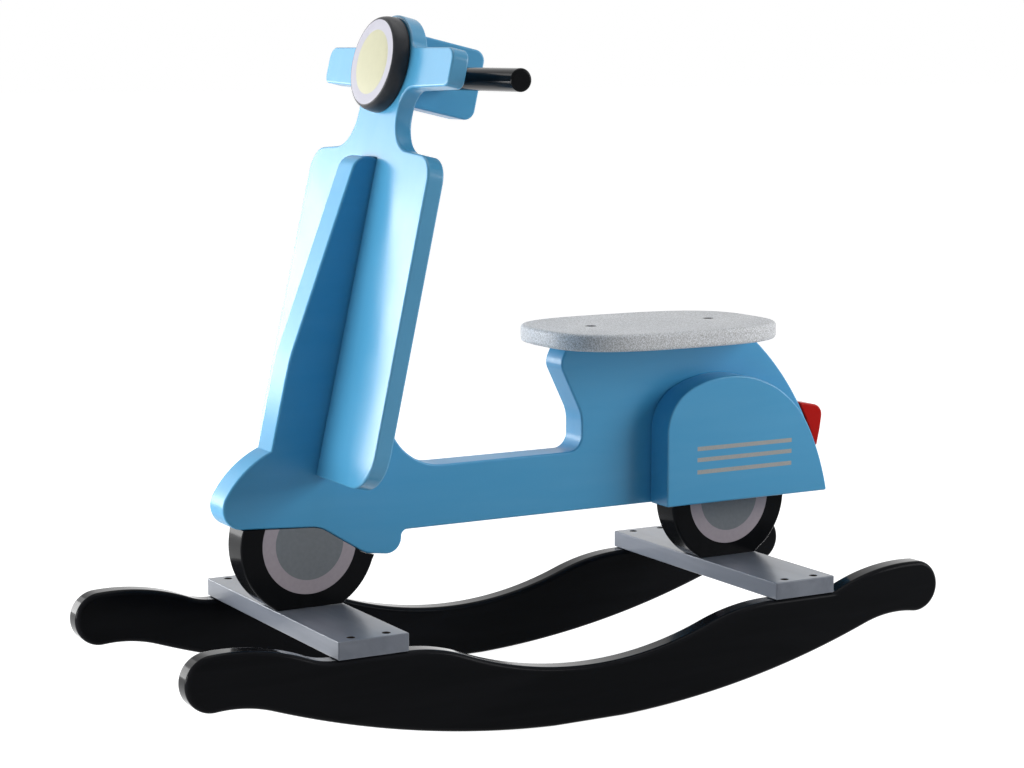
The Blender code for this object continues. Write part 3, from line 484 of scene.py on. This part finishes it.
def countersunk(head_radius, shank_radius, sink, thickness, side=1):
    """The profile of a screw's hole through a board, from its upper face (side 1) or its lower one."""
    half, ease = thickness / 2, 0.35
    head_drop = sink + (head_radius - shank_radius) * 1.4
    head, shank = head_radius + FIT_GAP, shank_radius + FIT_GAP
    profile = [
        (head + ease, half),
        (head + ease * 0.3, half - ease * 0.3),
        (head, half - ease),
        (head, half - head_drop * 0.7),
        (shank, half - head_drop - 0.6),
        (shank, -half),
    ]
    return [(radius, side * height) for radius, height in profile][:: side]


silver_grey = painted(
    "silver_grey_paint",
    paint=(0.138, 0.154, 0.188),
    thin_coat=(0.255, 0.275, 0.315),
    roughness=0.31,
    gloss=0.3,
    wear=0.4,
    grain=1.3,
    stretch=along_y,
    relief_depth=0.06,
    lacquer=0.8,
)
plank_outline = rounded(
    [
        (-cross_board_width / 2, -cross_board_length / 2, plank_corner),
        (cross_board_width / 2, -cross_board_length / 2, plank_corner),
        (cross_board_width / 2, cross_board_length / 2, plank_corner),
        (-cross_board_width / 2, cross_board_length / 2, plank_corner),
    ]
)
plank_holes = [
    ((sx * rocker_screw_spacing / 2, sy * rocker_y), countersunk(*wood_screw, board_thickness))
    for sx in (-1, 1)
    for sy in (-1, 1)
]
plank_holes += [
    ((sx * wheel_screw_spacing / 2, 0), countersunk(*panel_screw, board_thickness, -1)) for sx in (-1, 1)
]
for end, x in (("front", front_board_x), ("rear", rear_board_x)):
    plank = board(
        f"{end}_plank",
        plank_outline,
        board_thickness,
        plank_rounding,
        level(x, 0, board_middle),
        silver_grey,
        plank_holes,
    )
    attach(plank, "root")
    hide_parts(f"{end}_cross_board")

# Body panel: one thick board on edge that is fender, floor, steering column and seat riser together,
# sprayed satin blue. The column leans with the shield board that is slotted over it.
panel_thickness, panel_rounding, panel_corner = 30, 2.0, 2.2
axle_height = board_bottom + board_thickness + FIT_GAP + 57
body_bottom = axle_height + 3
floor_height = body_bottom + 56
body_top = body_bottom + 154
riser_top_x, riser_belly_x, riser_brow_x = 45, 61, 37.5
riser_belly_height, riser_belly_radius = body_bottom + 90, 35
riser_brow_height, riser_brow_radius, riser_foot_radius = body_bottom + 138, 14, 14
column_rear, column_rear_radius, column_flare = -56.5, 30, 55
column_top, column_crown, column_knee_height, column_knee_radius = 19, 15, 95, 120
tail_radius, tail_centre = 261.5, (83, body_bottom - 47.3)
fender_radius, fender_tip_radius, fender_tip_rise = 91.5, 19, 18
shield_tilt = math.radians(12.76)
shield_foot = np.array((-211.9, body_bottom + 57))
along_shield = np.array((math.sin(shield_tilt), math.cos(shield_tilt)))
out_of_shield = np.array((-math.cos(shield_tilt), math.sin(shield_tilt)))
slot_height = 282


def beside_shield(height, out):
    """The (x, z) point at a height along the shield board and a distance in front of its face."""
    return tuple(shield_foot + along_shield * height + out_of_shield * out)


front_axle = np.array((front_board_x, axle_height))
arch_crest, lobe_front, lobe_rear = ((10, 13.5), 30), ((54.5, -14.7), 25), ((90.5, -19.2), 14)
lobe_foot_radius = 6
column_front = 45.3
low = np.array(beside_shield(0, column_front)) - front_axle
climb = math.sqrt((low @ along_shield) ** 2 + fender_radius**2 - low @ low) - low @ along_shield
column_foot = beside_shield(climb, column_front)
heel_height = (floor_height - beside_shield(0, column_rear)[1]) / along_shield[1]
column_heel = beside_shield(heel_height, column_rear)
tip_z = axle_height + fender_tip_rise + fender_tip_radius
tip_reach = fender_radius - fender_tip_radius
fender_tip = (front_board_x - math.sqrt(tip_reach**2 - (tip_z - axle_height) ** 2), tip_z)
tail_low = math.asin((body_bottom - tail_centre[1]) / tail_radius)
tail_high = math.asin((body_top - tail_centre[1]) / tail_radius)
tail_edge = arc(tail_centre, tail_radius, tail_low, tail_high, 0.013)
riser_and_column = rounded(
    [
        (*tail_edge[-2], 0),
        (*tail_edge[-1], panel_corner),
        (riser_top_x, body_top, panel_corner),
        (riser_brow_x, riser_brow_height, riser_brow_radius),
        (riser_belly_x, riser_belly_height, riser_belly_radius),
        (riser_belly_x, floor_height, riser_foot_radius),
        (*column_heel, column_flare),
        (*beside_shield(slot_height - FIT_GAP, column_rear), column_rear_radius),
        (*beside_shield(slot_height - FIT_GAP, column_top), column_crown),
        (*beside_shield(column_knee_height, column_front), column_knee_radius),
        (*column_foot, 0),
    ]
)
under_edge = rounded(
    [
        (fender_tip[0], tip_z - fender_tip_radius, 0),
        (*(front_axle + arch_crest[0]), arch_crest[1]),
        (*(front_axle + lobe_front[0]), lobe_front[1]),
        (*(front_axle + lobe_rear[0]), lobe_rear[1]),
        (front_axle[0] + lobe_rear[0][0], body_bottom, lobe_foot_radius),
        (*tail_edge[0], panel_corner),
        (*tail_edge[1], 0),
    ]
)
tip_start = bearing(front_axle, fender_tip)
tip_turn = (DOWN - tip_start) % (2 * math.pi)
body_outline = np.vstack(
    (
        tail_edge[1:-2],
        riser_and_column[:-1],
        arc(front_axle, fender_radius, bearing(front_axle, column_foot), tip_start % (2 * math.pi), 0.02)[:-1],
        arc(fender_tip, fender_tip_radius, tip_start, tip_start + tip_turn, 0.06)[:-1],
        under_edge[:-1],
    )
)
sky_blue, thin_blue = (0.052, 0.33, 0.6), (0.17, 0.47, 0.72)
satin = {"thin_coat": thin_blue, "wear": 0.4, "grain": 0.3}
body_blue = painted("satin_blue_paint", paint=sky_blue, roughness=0.305, gloss=0.35, stretch=along_x, **satin)
body = board("body_board", body_outline, panel_thickness, panel_rounding, upright(), body_blue)
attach(body, "root")
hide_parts("body_panel")

# Wheels: two fixed discs of the panel's thickness, flat where they stand on the cross boards and cut to
# the body's lower edge. The tyre is gloss black, with a mauve-grey rim ring and a darker hub painted on.
wheel_radius, wheel_flat = 65, 57
sharp_rounding, tyre_rounding = 0.3, 1.9
hub_radius, rim_radius = 32.5, 45.0
paint_border = 0.12


def wheel_outline(axle_x, edge):
    """The disc's circle below the body's lower edge, that edge moved down by the gap, and the flat."""
    ceiling = edge - (0, FIT_GAP)
    flat_angle = math.asin(wheel_flat / wheel_radius)
    circle = arc((axle_x, axle_height), wheel_radius, -flat_angle, math.pi + flat_angle, 0.008)
    clear = circle[:, 1] < np.interp(circle[:, 0], ceiling[:, 0], ceiling[:, 1])
    first_hidden, last_hidden = np.flatnonzero(~clear)[[0, -1]]
    right, left = circle[:first_hidden], circle[last_hidden + 1 :]
    top = ceiling[(ceiling[:, 0] < right[-1, 0] - 0.3) & (ceiling[:, 0] > left[0, 0] + 0.3)][::-1]
    outline = np.vstack((right, top, left))
    corners = np.array((right[0], right[-1], left[0], left[-1]))
    nearest = np.linalg.norm(outline[:, None] - corners[None], axis=2).min(axis=1)
    on_tyre = np.abs(np.hypot(outline[:, 0] - axle_x, outline[:, 1] - axle_height) - wheel_radius) < 0.01
    return outline, sharp_rounding + tyre_rounding * on_tyre * np.clip(nearest / 5, 0, 1)


def wheel_rings(axle_x):
    """A cover for the tyre's black: rings by the distance from the axle, on the two flat faces."""

    def cover(tree, colour):
        spot = node(tree, "ShaderNodeTexCoord").outputs["Object"]
        off_axle = (axle_x * MM, 0, axle_height * MM)
        from_axle = node(tree, "ShaderNodeVectorMath", operation="SUBTRACT", feeds={0: spot, 1: off_axle})
        feeds = {0: from_axle.outputs[0], 1: (1, 0, 1)}
        in_plane = node(tree, "ShaderNodeVectorMath", operation="MULTIPLY", feeds=feeds)
        distance = node(tree, "ShaderNodeVectorMath", operation="LENGTH", feeds={0: in_plane.outputs[0]})
        waver = noise(tree, spot, 260.0, 2.0)
        for radius, dark, pale in (
            (rim_radius, (0.38, 0.335, 0.37, 1), (0.45, 0.40, 0.435, 1)),
            (hub_radius, (0.185, 0.20, 0.22, 1), (0.235, 0.255, 0.27, 1)),
        ):
            inside = ramp(
                tree, distance.outputs["Value"], (radius + paint_border) * MM, (radius - paint_border) * MM
            )
            colour = blend(tree, inside, colour, blend(tree, waver, dark, pale))
        return colour

    return cover


rear_edge = np.array(((rear_board_x - 80, body_bottom), (rear_board_x + 80, body_bottom)))
front_edge = under_edge[under_edge[:, 0] < front_board_x + 80]
front_edge = np.vstack(((front_board_x - 80, front_edge[0, 1]), front_edge))
tyre_black, thin_black = (0.005, 0.0055, 0.0065), (0.035, 0.035, 0.04)
for end, axle_x, edge in (("front", front_board_x, front_edge), ("rear", rear_board_x, rear_edge)):
    disc, easing = wheel_outline(axle_x, edge)
    wheel_paint = painted(
        f"{end}_wheel_paint",
        paint=tyre_black,
        thin_coat=thin_black,
        roughness=0.16,
        gloss=0.03,
        wear=0.3,
        grain=0.2,
        stretch=along_z,
        cover=wheel_rings(axle_x),
        lacquer=0.5,
    )
    wheel = board(f"{end}_wheel_disc", disc, panel_thickness, easing, upright(), wheel_paint)
    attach(wheel, "root")
    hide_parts(f"{end}_wheel")

# Side cowls: two thick boards on the body's tail, straight in front and below, round on top, with the
# rear edge following the tail. Three narrow grey stripes are printed on each outer face.
cowl_front, cowl_inset = 137, 17.2
cowl_top_radius, cowl_top_bearing = 105.4, math.radians(26.5)
nose_radius = 45
cowl_corner, cowl_rounding = 1.9, 1.8
stripe_start, stripe_end, stripe_width = 170.3, 279.4, 4.0
stripe_heights = (215.5, 204.9, 193.2)
cowl_face = 1.5 * panel_thickness + FIT_GAP
cowl_rear = tail_radius - cowl_inset
cowl_top = arc(tail_centre, cowl_rear - cowl_top_radius, cowl_top_bearing, cowl_top_bearing)[0]
nose_x = cowl_front + nose_radius
nose = (nose_x, cowl_top[1] + math.sqrt((cowl_top_radius - nose_radius) ** 2 - (nose_x - cowl_top[0]) ** 2))
cowl_low = math.asin((body_bottom - tail_centre[1]) / cowl_rear)
cowl_tail = arc(tail_centre, cowl_rear, cowl_low, cowl_top_bearing, 0.012)
cowl_foot = rounded(
    [
        (cowl_front, nose[1], 0),
        (cowl_front, body_bottom, cowl_corner),
        (*cowl_tail[0], cowl_corner),
        (*cowl_tail[1], 0),
    ]
)
cowl_outline = np.vstack(
    (
        cowl_foot[1:],
        cowl_tail[2:-1],
        arc(cowl_top, cowl_top_radius, cowl_top_bearing, bearing(cowl_top, nose), 0.02)[:-1],
        arc(nose, nose_radius, bearing(cowl_top, nose), math.pi),
    )
)


def band(tree, value, low_end, high_end):
    """A mask that is 1 where a value in metres lies between two ends in mm, with narrow soft borders."""
    rise = ramp(tree, value, (low_end - paint_border) * MM, (low_end + paint_border) * MM)
    fall = ramp(tree, value, (high_end + paint_border) * MM, (high_end - paint_border) * MM)
    return maths(tree, "MULTIPLY", rise, fall)


def cowl_stripes(tree, colour):
    """A cover for the cowls' blue: three level grey stripes, with the print slightly uneven."""
    spot = node(tree, "ShaderNodeTexCoord").outputs["Object"]
    axes = node(tree, "ShaderNodeSeparateXYZ", feeds={0: spot})
    across = node(tree, "ShaderNodeMath", operation="ABSOLUTE", feeds={0: axes.outputs["Y"]}).outputs[0]
    outer = band(tree, across, cowl_face - 0.8, cowl_face + 4.7)
    reach = band(tree, axes.outputs["X"], stripe_start, stripe_end)
    bands = [
        band(tree, axes.outputs["Z"], height - stripe_width / 2, height + stripe_width / 2)
        for height in stripe_heights
    ]
    any_band = maths(tree, "MAXIMUM", maths(tree, "MAXIMUM", bands[0], bands[1]), bands[2])
    mask = maths(tree, "MULTIPLY", maths(tree, "MULTIPLY", outer, reach), any_band)
    print_grain = noise(tree, spot, 1400.0, 2.0)
    ink = blend(tree, print_grain, (0.285, 0.295, 0.30, 1), (0.44, 0.45, 0.43, 1))
    return blend(tree, mask, colour, ink)


cowl_blue = painted(
    "striped_blue_paint",
    paint=sky_blue,
    roughness=0.305,
    gloss=0.35,
    stretch=along_x,
    cover=cowl_stripes,
    **satin,
)
for name, side in (("cowl_left", -1), ("cowl_right", 1)):
    cowl = board(
        f"{name}_board",
        cowl_outline,
        panel_thickness,
        cowl_rounding,
        upright(y=side * (panel_thickness + FIT_GAP)),
        cowl_blue,
    )
    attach(cowl, "root")
    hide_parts(name)

# Shield board: the leaning board at the front, slotted from below to straddle the column, with a neck,
# two short wings and a round head. Its near leg is left plain. It is the body's satin blue, given a paler
# colour here as painted light for its brightly lit forward face.
shield_half_width, shield_top_half_width = 118.5, 116
shoulder_height, neck_foot_height = 286.5, 292
neck_half_width = 38
wing_top_height, wing_depth, wing_half_span = 380, 33, 119
head_height, head_radius, head_blend = wing_top_height - wing_depth / 2, 45, 12
wing_foot_height, wing_tip_height = wing_top_height - wing_depth - 3, wing_top_height - wing_depth
shield_foot_radius, shoulder_radius, neck_foot_radius, neck_top_radius = 34, 22, 32, 18
wing_top_radius = wing_depth / 3
wing_tip_radius = wing_top_radius * 0.65
slot_half_width = panel_thickness / 2 + FIT_GAP
shield_y = -1


def on_shield_frame(height, out):
    """The frame of a board laid on the shield: first axis to -Y, second up the shield, face forward."""
    x, z = beside_shield(height, out)
    return np.array(
        (
            (0, along_shield[0], out_of_shield[0], x),
            (shield_y, 0, 0, 0),
            (0, along_shield[1], out_of_shield[1], z),
        )
    )


blend_z = wing_top_height + head_blend
blend_x = math.sqrt((head_radius + head_blend) ** 2 - (blend_z - head_height) ** 2)
head_start = math.atan2(blend_z - head_height, blend_x)
half_shield = np.vstack(
    (
        rounded(
            [
                (slot_half_width, slot_height, 0),
                (slot_half_width, 0, panel_corner),
                (shield_half_width, 0, shield_foot_radius),
                (shield_top_half_width, shoulder_height, shoulder_radius),
                (neck_half_width, neck_foot_height, neck_foot_radius),
                (neck_half_width, wing_foot_height, neck_top_radius),
                (wing_half_span, wing_tip_height, wing_tip_radius),
                (wing_half_span, wing_top_height, wing_top_radius),
                (0, wing_top_height, 0),
            ]
        )[:-1],
        arc((blend_x, blend_z), head_blend, DOWN, head_start - math.pi, 0.06),
        arc((0, head_height), head_radius, head_start, UP)[1:],
    )
)
shield_outline = np.vstack((half_shield, half_shield[::-1][1:] * (-1, 1)))
# A copy of the satin blue, paler than the body's: painted light for the bright front of the shield.
shield_blue_painted_light = painted(
    "shield_blue_paint", paint=(0.075, 0.34, 0.585), roughness=0.22, gloss=0.42, stretch=along_z, **satin
)
shield = board(
    "shield_front",
    shield_outline,
    board_thickness,
    panel_rounding,
    on_shield_frame(0, -board_thickness / 2),
    shield_blue_painted_light,
)
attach(shield, "root")
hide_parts("shield_board")

# Handlebar block: a short upright board behind the head, square to it, rounded at the back, with a
# cross hole for the handlebar.
block_height, block_length, block_corner = 63, 71, 10
handle_radius, handle_length = 10, 300
block_face = -board_thickness - FIT_GAP
block_x, block_z = beside_shield(head_height, block_face)
block_frame = np.array(
    (
        (out_of_shield[0], along_shield[0], 0, block_x),
        (0, 0, 1, 0),
        (out_of_shield[1], along_shield[1], 0, block_z),
    )
)
block_outline = rounded(
    [
        (0, -block_height / 2, panel_corner),
        (0, block_height / 2, panel_corner),
        (-block_length, block_height / 2, block_corner),
        (-block_length, -block_height / 2, block_corner),
    ]
)
half_block = panel_thickness / 2
bore_radius, bore_ease = handle_radius + FIT_GAP, 0.4
bar_hole = [
    (bore_radius + bore_ease, half_block),
    (bore_radius, half_block - bore_ease),
    (bore_radius, bore_ease - half_block),
    (bore_radius + bore_ease, -half_block),
]
block = board(
    "block_board",
    block_outline,
    panel_thickness,
    panel_rounding,
    block_frame,
    body_blue,
    [((-block_length / 2, 0), bar_hole)],
)
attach(block, "root")
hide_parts("handlebar_block")


# Handlebar: a plain beech rod through the block, gloss black, with its ends rounded over.
def turned(name, profile, origin, axis, finish, columns=96):
    """A turned piece: the (radius, height) profile swept round an axis, closed at both poles.

    A point is origin + height * axis + radius * (cos t * side_a + sin t * side_b).
    """
    axis = np.array(axis, float) / np.linalg.norm(axis)
    helper = np.array((0, 1, 0)) if abs(axis[1]) < 0.9 else np.array((1, 0, 0))
    side_a = np.cross(helper, axis)
    side_a /= np.linalg.norm(side_a)
    side_b = np.cross(axis, side_a)
    profile = np.array(profile, float)
    t = np.linspace(0, 2 * math.pi, columns, endpoint=False)
    ring = np.cos(t)[:, None] * side_a + np.sin(t)[:, None] * side_b
    rows = profile[1:-1]
    points = np.array(origin) + rows[:, 1, None, None] * axis + rows[:, 0, None, None] * ring[None]
    poles = np.array(origin) + profile[[0, -1], 1, None] * axis
    slope = np.gradient(profile, axis=0)
    slope /= np.linalg.norm(slope, axis=1)[:, None]
    facing = slope[1:-1, 1, None, None] * ring[None] - slope[1:-1, 0, None, None] * axis
    count = len(rows) * columns
    grid = strip(len(rows), columns)[:, ::-1].tolist()
    u = np.arange(columns)
    on = (u + 1) % columns
    last = (len(rows) - 1) * columns
    grid += np.column_stack((np.full(columns, count), on, u)).tolist()
    grid += np.column_stack((np.full(columns, count + 1), last + u, last + on)).tolist()
    edge = np.concatenate((np.repeat(rows[:, 0], columns) / profile[:, 0].max(), (0, 0)))
    return make_piece(
        name,
        np.vstack((points.reshape(-1, 3), poles)),
        grid,
        np.vstack((facing.reshape(-1, 3), -axis, axis)),
        finish,
        edge,
    )


bar_black = painted(
    "bar_black_paint",
    paint=tyre_black,
    thin_coat=thin_black,
    roughness=0.14,
    gloss=0.05,
    wear=0.0,
    grain=0.3,
    stretch=along_y,
    lacquer=0.4,
)
bar_end = 2.6
end_round = arc((handle_radius - bar_end, handle_length / 2 - bar_end), bar_end, 0, UP, 0.2)
bar_profile = np.vstack(
    ((0, -handle_length / 2), (end_round * (1, -1))[::-1], end_round, (0, handle_length / 2))
)
bar_x, bar_z = beside_shield(head_height, block_face - block_length / 2)
bar = turned("handlebar_rod", bar_profile, (bar_x, 0, bar_z), (0, 1, 0), bar_black, 64)
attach(bar, "root")
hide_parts("handlebar")

# Headlight: a turned wooden disc on the face of the head, with a dark rim that curves in to a pale ring
# and a cream lens, all painted on one smooth front.
lamp_radius, lamp_face_radius, lens_radius = 42.2, 37.5, 28.5
lamp_thickness, lamp_foot = 14.4, 3.0
swell = np.linspace(0, UP, 16)
lamp_profile = np.vstack(
    (
        (0, 0),
        (lamp_radius - 0.6, 0),
        (lamp_radius, 0.6),
        np.column_stack(
            (
                lamp_face_radius + (lamp_radius - lamp_face_radius) * np.cos(swell),
                lamp_foot + (lamp_thickness - lamp_foot) * np.sin(swell),
            )
        ),
        (lens_radius + 0.5, lamp_thickness),
        (lens_radius, lamp_thickness - 0.25),
        (lens_radius - 0.5, lamp_thickness),
        (lens_radius * 0.7, lamp_thickness + 0.45),
        (lens_radius * 0.35, lamp_thickness + 0.7),
        (0, lamp_thickness + 0.8),
    )
)
lamp_finish, lamp_tree, lamp_shader = principled("headlight_paint")
lamp_shader.inputs["Specular IOR Level"].default_value = 0.15
lamp_spot = node(lamp_tree, "ShaderNodeTexCoord").outputs["Object"]
lamp_share = node(lamp_tree, "ShaderNodeAttribute", attribute_name="edge").outputs["Fac"]
lamp_waver = noise(lamp_tree, lamp_spot, 140.0, 3.0)
cream = blend(lamp_tree, lamp_waver, (0.46, 0.455, 0.30, 1), (0.52, 0.51, 0.35, 1))
lilac = (0.44, 0.435, 0.50, 1)
dark_rim = blend(lamp_tree, lamp_waver, (0.022, 0.024, 0.028, 1), (0.045, 0.047, 0.052, 1))
ring_ends = (lamp_face_radius + 0.2) / lamp_radius, (lamp_face_radius - 0.1) / lamp_radius
lens_ends = (lens_radius + 0.2) / lamp_radius, (lens_radius - 0.2) / lamp_radius
rim_and_ring = blend(lamp_tree, ramp(lamp_tree, lamp_share, *ring_ends), dark_rim, lilac)
lamp_colour = blend(lamp_tree, ramp(lamp_tree, lamp_share, *lens_ends), rim_and_ring, cream)
lamp_rough = ramp(lamp_tree, lamp_waver, 0.3, 0.7, 0.28, 0.4)
lamp_relief = {"Height": lamp_waver, "Strength": 0.25, "Distance": 0.02 * MM}
lamp_bump = node(lamp_tree, "ShaderNodeBump", feeds=lamp_relief)
lamp_tree.links.new(lamp_colour, lamp_shader.inputs["Base Color"])
lamp_tree.links.new(lamp_rough, lamp_shader.inputs["Roughness"])
lamp_tree.links.new(lamp_bump.outputs[0], lamp_shader.inputs["Normal"])
lamp_x, lamp_z = beside_shield(head_height, FIT_GAP)
lamp_axis = (out_of_shield[0], 0, out_of_shield[1])
lamp = turned("headlight_disc", lamp_profile, (lamp_x, 0, lamp_z), lamp_axis, lamp_finish, 128)
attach(lamp, "root")
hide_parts("headlight")

# Tail light: a small gloss red block, as thick as the body, fitted to the round of the body's rear edge.
light_low, light_high = math.radians(18.1), math.radians(30)
light_reach, light_belly, light_crown = 24.3, 25, 11
light_span = light_high - light_low
light_inner = arc(tail_centre, tail_radius + FIT_GAP, light_high, light_low, 0.03)


def off_tail(reach, share):
    """The point at a reach outside the tail's round, at a share of the light's span above its foot."""
    angle = light_low + light_span * share
    radius = tail_radius + reach
    return tail_centre[0] + radius * math.cos(angle), tail_centre[1] + radius * math.sin(angle)


light_back = rounded(
    [
        (*light_inner[-2], 0),
        (*light_inner[-1], cowl_corner),
        (*off_tail(light_reach / 2, 1 / 3), light_belly),
        (*off_tail(light_reach, 2 / 3), light_crown),
        (*light_inner[0], cowl_corner),
        (*light_inner[1], 0),
    ]
)
light_outline = np.vstack((light_inner[2:-2], light_back[:-1]))
light_red = painted(
    "gloss_red_paint",
    paint=(0.5, 0.006, 0.004),
    thin_coat=(0.62, 0.03, 0.02),
    roughness=0.18,
    gloss=0.06,
    wear=0.3,
    grain=0.15,
    stretch=along_z,
)
light = board("tail_light_block", light_outline, panel_thickness, cowl_rounding, upright(), light_red)
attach(light, "root")
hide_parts("tail_light")

# Seat: a board with bluntly rounded ends and well rounded edges, in a pale grey finish sprayed with fine
# specks. Two deep countersunk holes take the screws that hold it to the body.
seat_length, seat_width, seat_x = 242, 165, 144
seat_rounding = 3.6
seat_bottom = body_top + FIT_GAP
seat_screw_x, seat_screw_spacing = 145.5, 132
turn = np.linspace(0, 2 * math.pi, 240, endpoint=False)
seat_outline = np.column_stack(
    (
        seat_length / 2 * np.sign(np.cos(turn)) * np.abs(np.cos(turn)) ** (2 / 3),
        seat_width / 2 * np.sign(np.sin(turn)) * np.abs(np.sin(turn)) ** (2 / 3),
    )
)
seat_finish, seat_tree, seat_shader = principled("speckled_pale_grey")
seat_spot = node(seat_tree, "ShaderNodeTexCoord").outputs["Object"]
fine_specks = noise(seat_tree, seat_spot, 900.0, 2.0)
coarse_feeds = {"Vector": seat_spot, "Scale": 520.0}
coarse_specks = node(seat_tree, "ShaderNodeTexVoronoi", feature="F1", feeds=coarse_feeds).outputs["Distance"]
drift = noise(seat_tree, seat_spot, 22.0, 3.0)
fine_mask = ramp(seat_tree, fine_specks, 0.42, 0.62)
coarse_mask = ramp(seat_tree, coarse_specks, 0.34, 0.2, 0.0, 0.6)
ground = blend(seat_tree, fine_mask, (0.48, 0.49, 0.50, 1), (0.82, 0.84, 0.88, 1))
speckled = blend(seat_tree, coarse_mask, ground, (0.27, 0.27, 0.26, 1))
# Deep in the screw holes the speckled grey turns near black: painted shade for the recess.
seat_depth = node(seat_tree, "ShaderNodeAttribute", attribute_name="edge").outputs["Fac"]
seat_colour = blend(seat_tree, ramp(seat_tree, seat_depth, -0.2, -0.9), speckled, (0.03, 0.025, 0.025, 1))
seat_rough = ramp(seat_tree, drift, 0.3, 0.7, 0.42, 0.6)
seat_relief = {"Height": fine_specks, "Strength": 0.4, "Distance": 0.08 * MM}
seat_bump = node(seat_tree, "ShaderNodeBump", feeds=seat_relief)
seat_tree.links.new(seat_colour, seat_shader.inputs["Base Color"])
seat_tree.links.new(seat_rough, seat_shader.inputs["Roughness"])
seat_tree.links.new(seat_bump.outputs[0], seat_shader.inputs["Normal"])
seat_holes = [
    ((seat_screw_x - seat_x + side * seat_screw_spacing / 2, 0), countersunk(*panel_screw, board_thickness))
    for side in (-1, 1)
]
seat = board(
    "seat_top",
    seat_outline,
    board_thickness,
    seat_rounding,
    level(seat_x, 0, seat_bottom + board_thickness / 2),
    seat_finish,
    seat_holes,
)
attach(seat, "root")
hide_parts("seat_board")

# Screws and dowels: the countersunk screws deep in their holes are steel coloured near black, partly dark steel
# and partly painted shade for the holes they sit in, and the dowels inside the joints are raw beech. They keep
# the shapes of the CAD.
dark_steel, steel_tree, steel_shader = principled("dark_steel")
steel_shader.inputs["Metallic"].default_value = 1
steel_spot = node(steel_tree, "ShaderNodeTexCoord").outputs["Object"]
steel_noise = noise(steel_tree, steel_spot, 700.0, 3.0)
# The steel is held near black, darker than bare steel: painted shade for the deep holes the screws sit in.
steel_tone = blend(steel_tree, steel_noise, (0.03, 0.03, 0.032, 1), (0.08, 0.08, 0.082, 1))
steel_rough = ramp(steel_tree, steel_noise, 0.3, 0.7, 0.3, 0.5)
steel_tree.links.new(steel_tone, steel_shader.inputs["Base Color"])
steel_tree.links.new(steel_rough, steel_shader.inputs["Roughness"])

raw_beech, beech_tree, beech_shader = principled("raw_beech")
beech_spot = node(beech_tree, "ShaderNodeTexCoord").outputs["Object"]
beech_stretch = {0: beech_spot, 1: (1, 1, 0.15)}
beech_place = node(beech_tree, "ShaderNodeVectorMath", operation="MULTIPLY", feeds=beech_stretch).outputs[0]
beech_noise = noise(beech_tree, beech_place, 600.0, 4.0)
beech_tone = blend(beech_tree, beech_noise, (0.50, 0.32, 0.18, 1), (0.68, 0.48, 0.29, 1))
beech_rough = ramp(beech_tree, beech_noise, 0.3, 0.7, 0.6, 0.8)
beech_tree.links.new(beech_tone, beech_shader.inputs["Base Color"])
beech_tree.links.new(beech_rough, beech_shader.inputs["Roughness"])

for name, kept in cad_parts.items():
    finish = dark_steel if "screw" in name else raw_beech if "dowel" in name else None
    if finish:
        kept.data.materials.clear()
        kept.data.materials.append(finish)
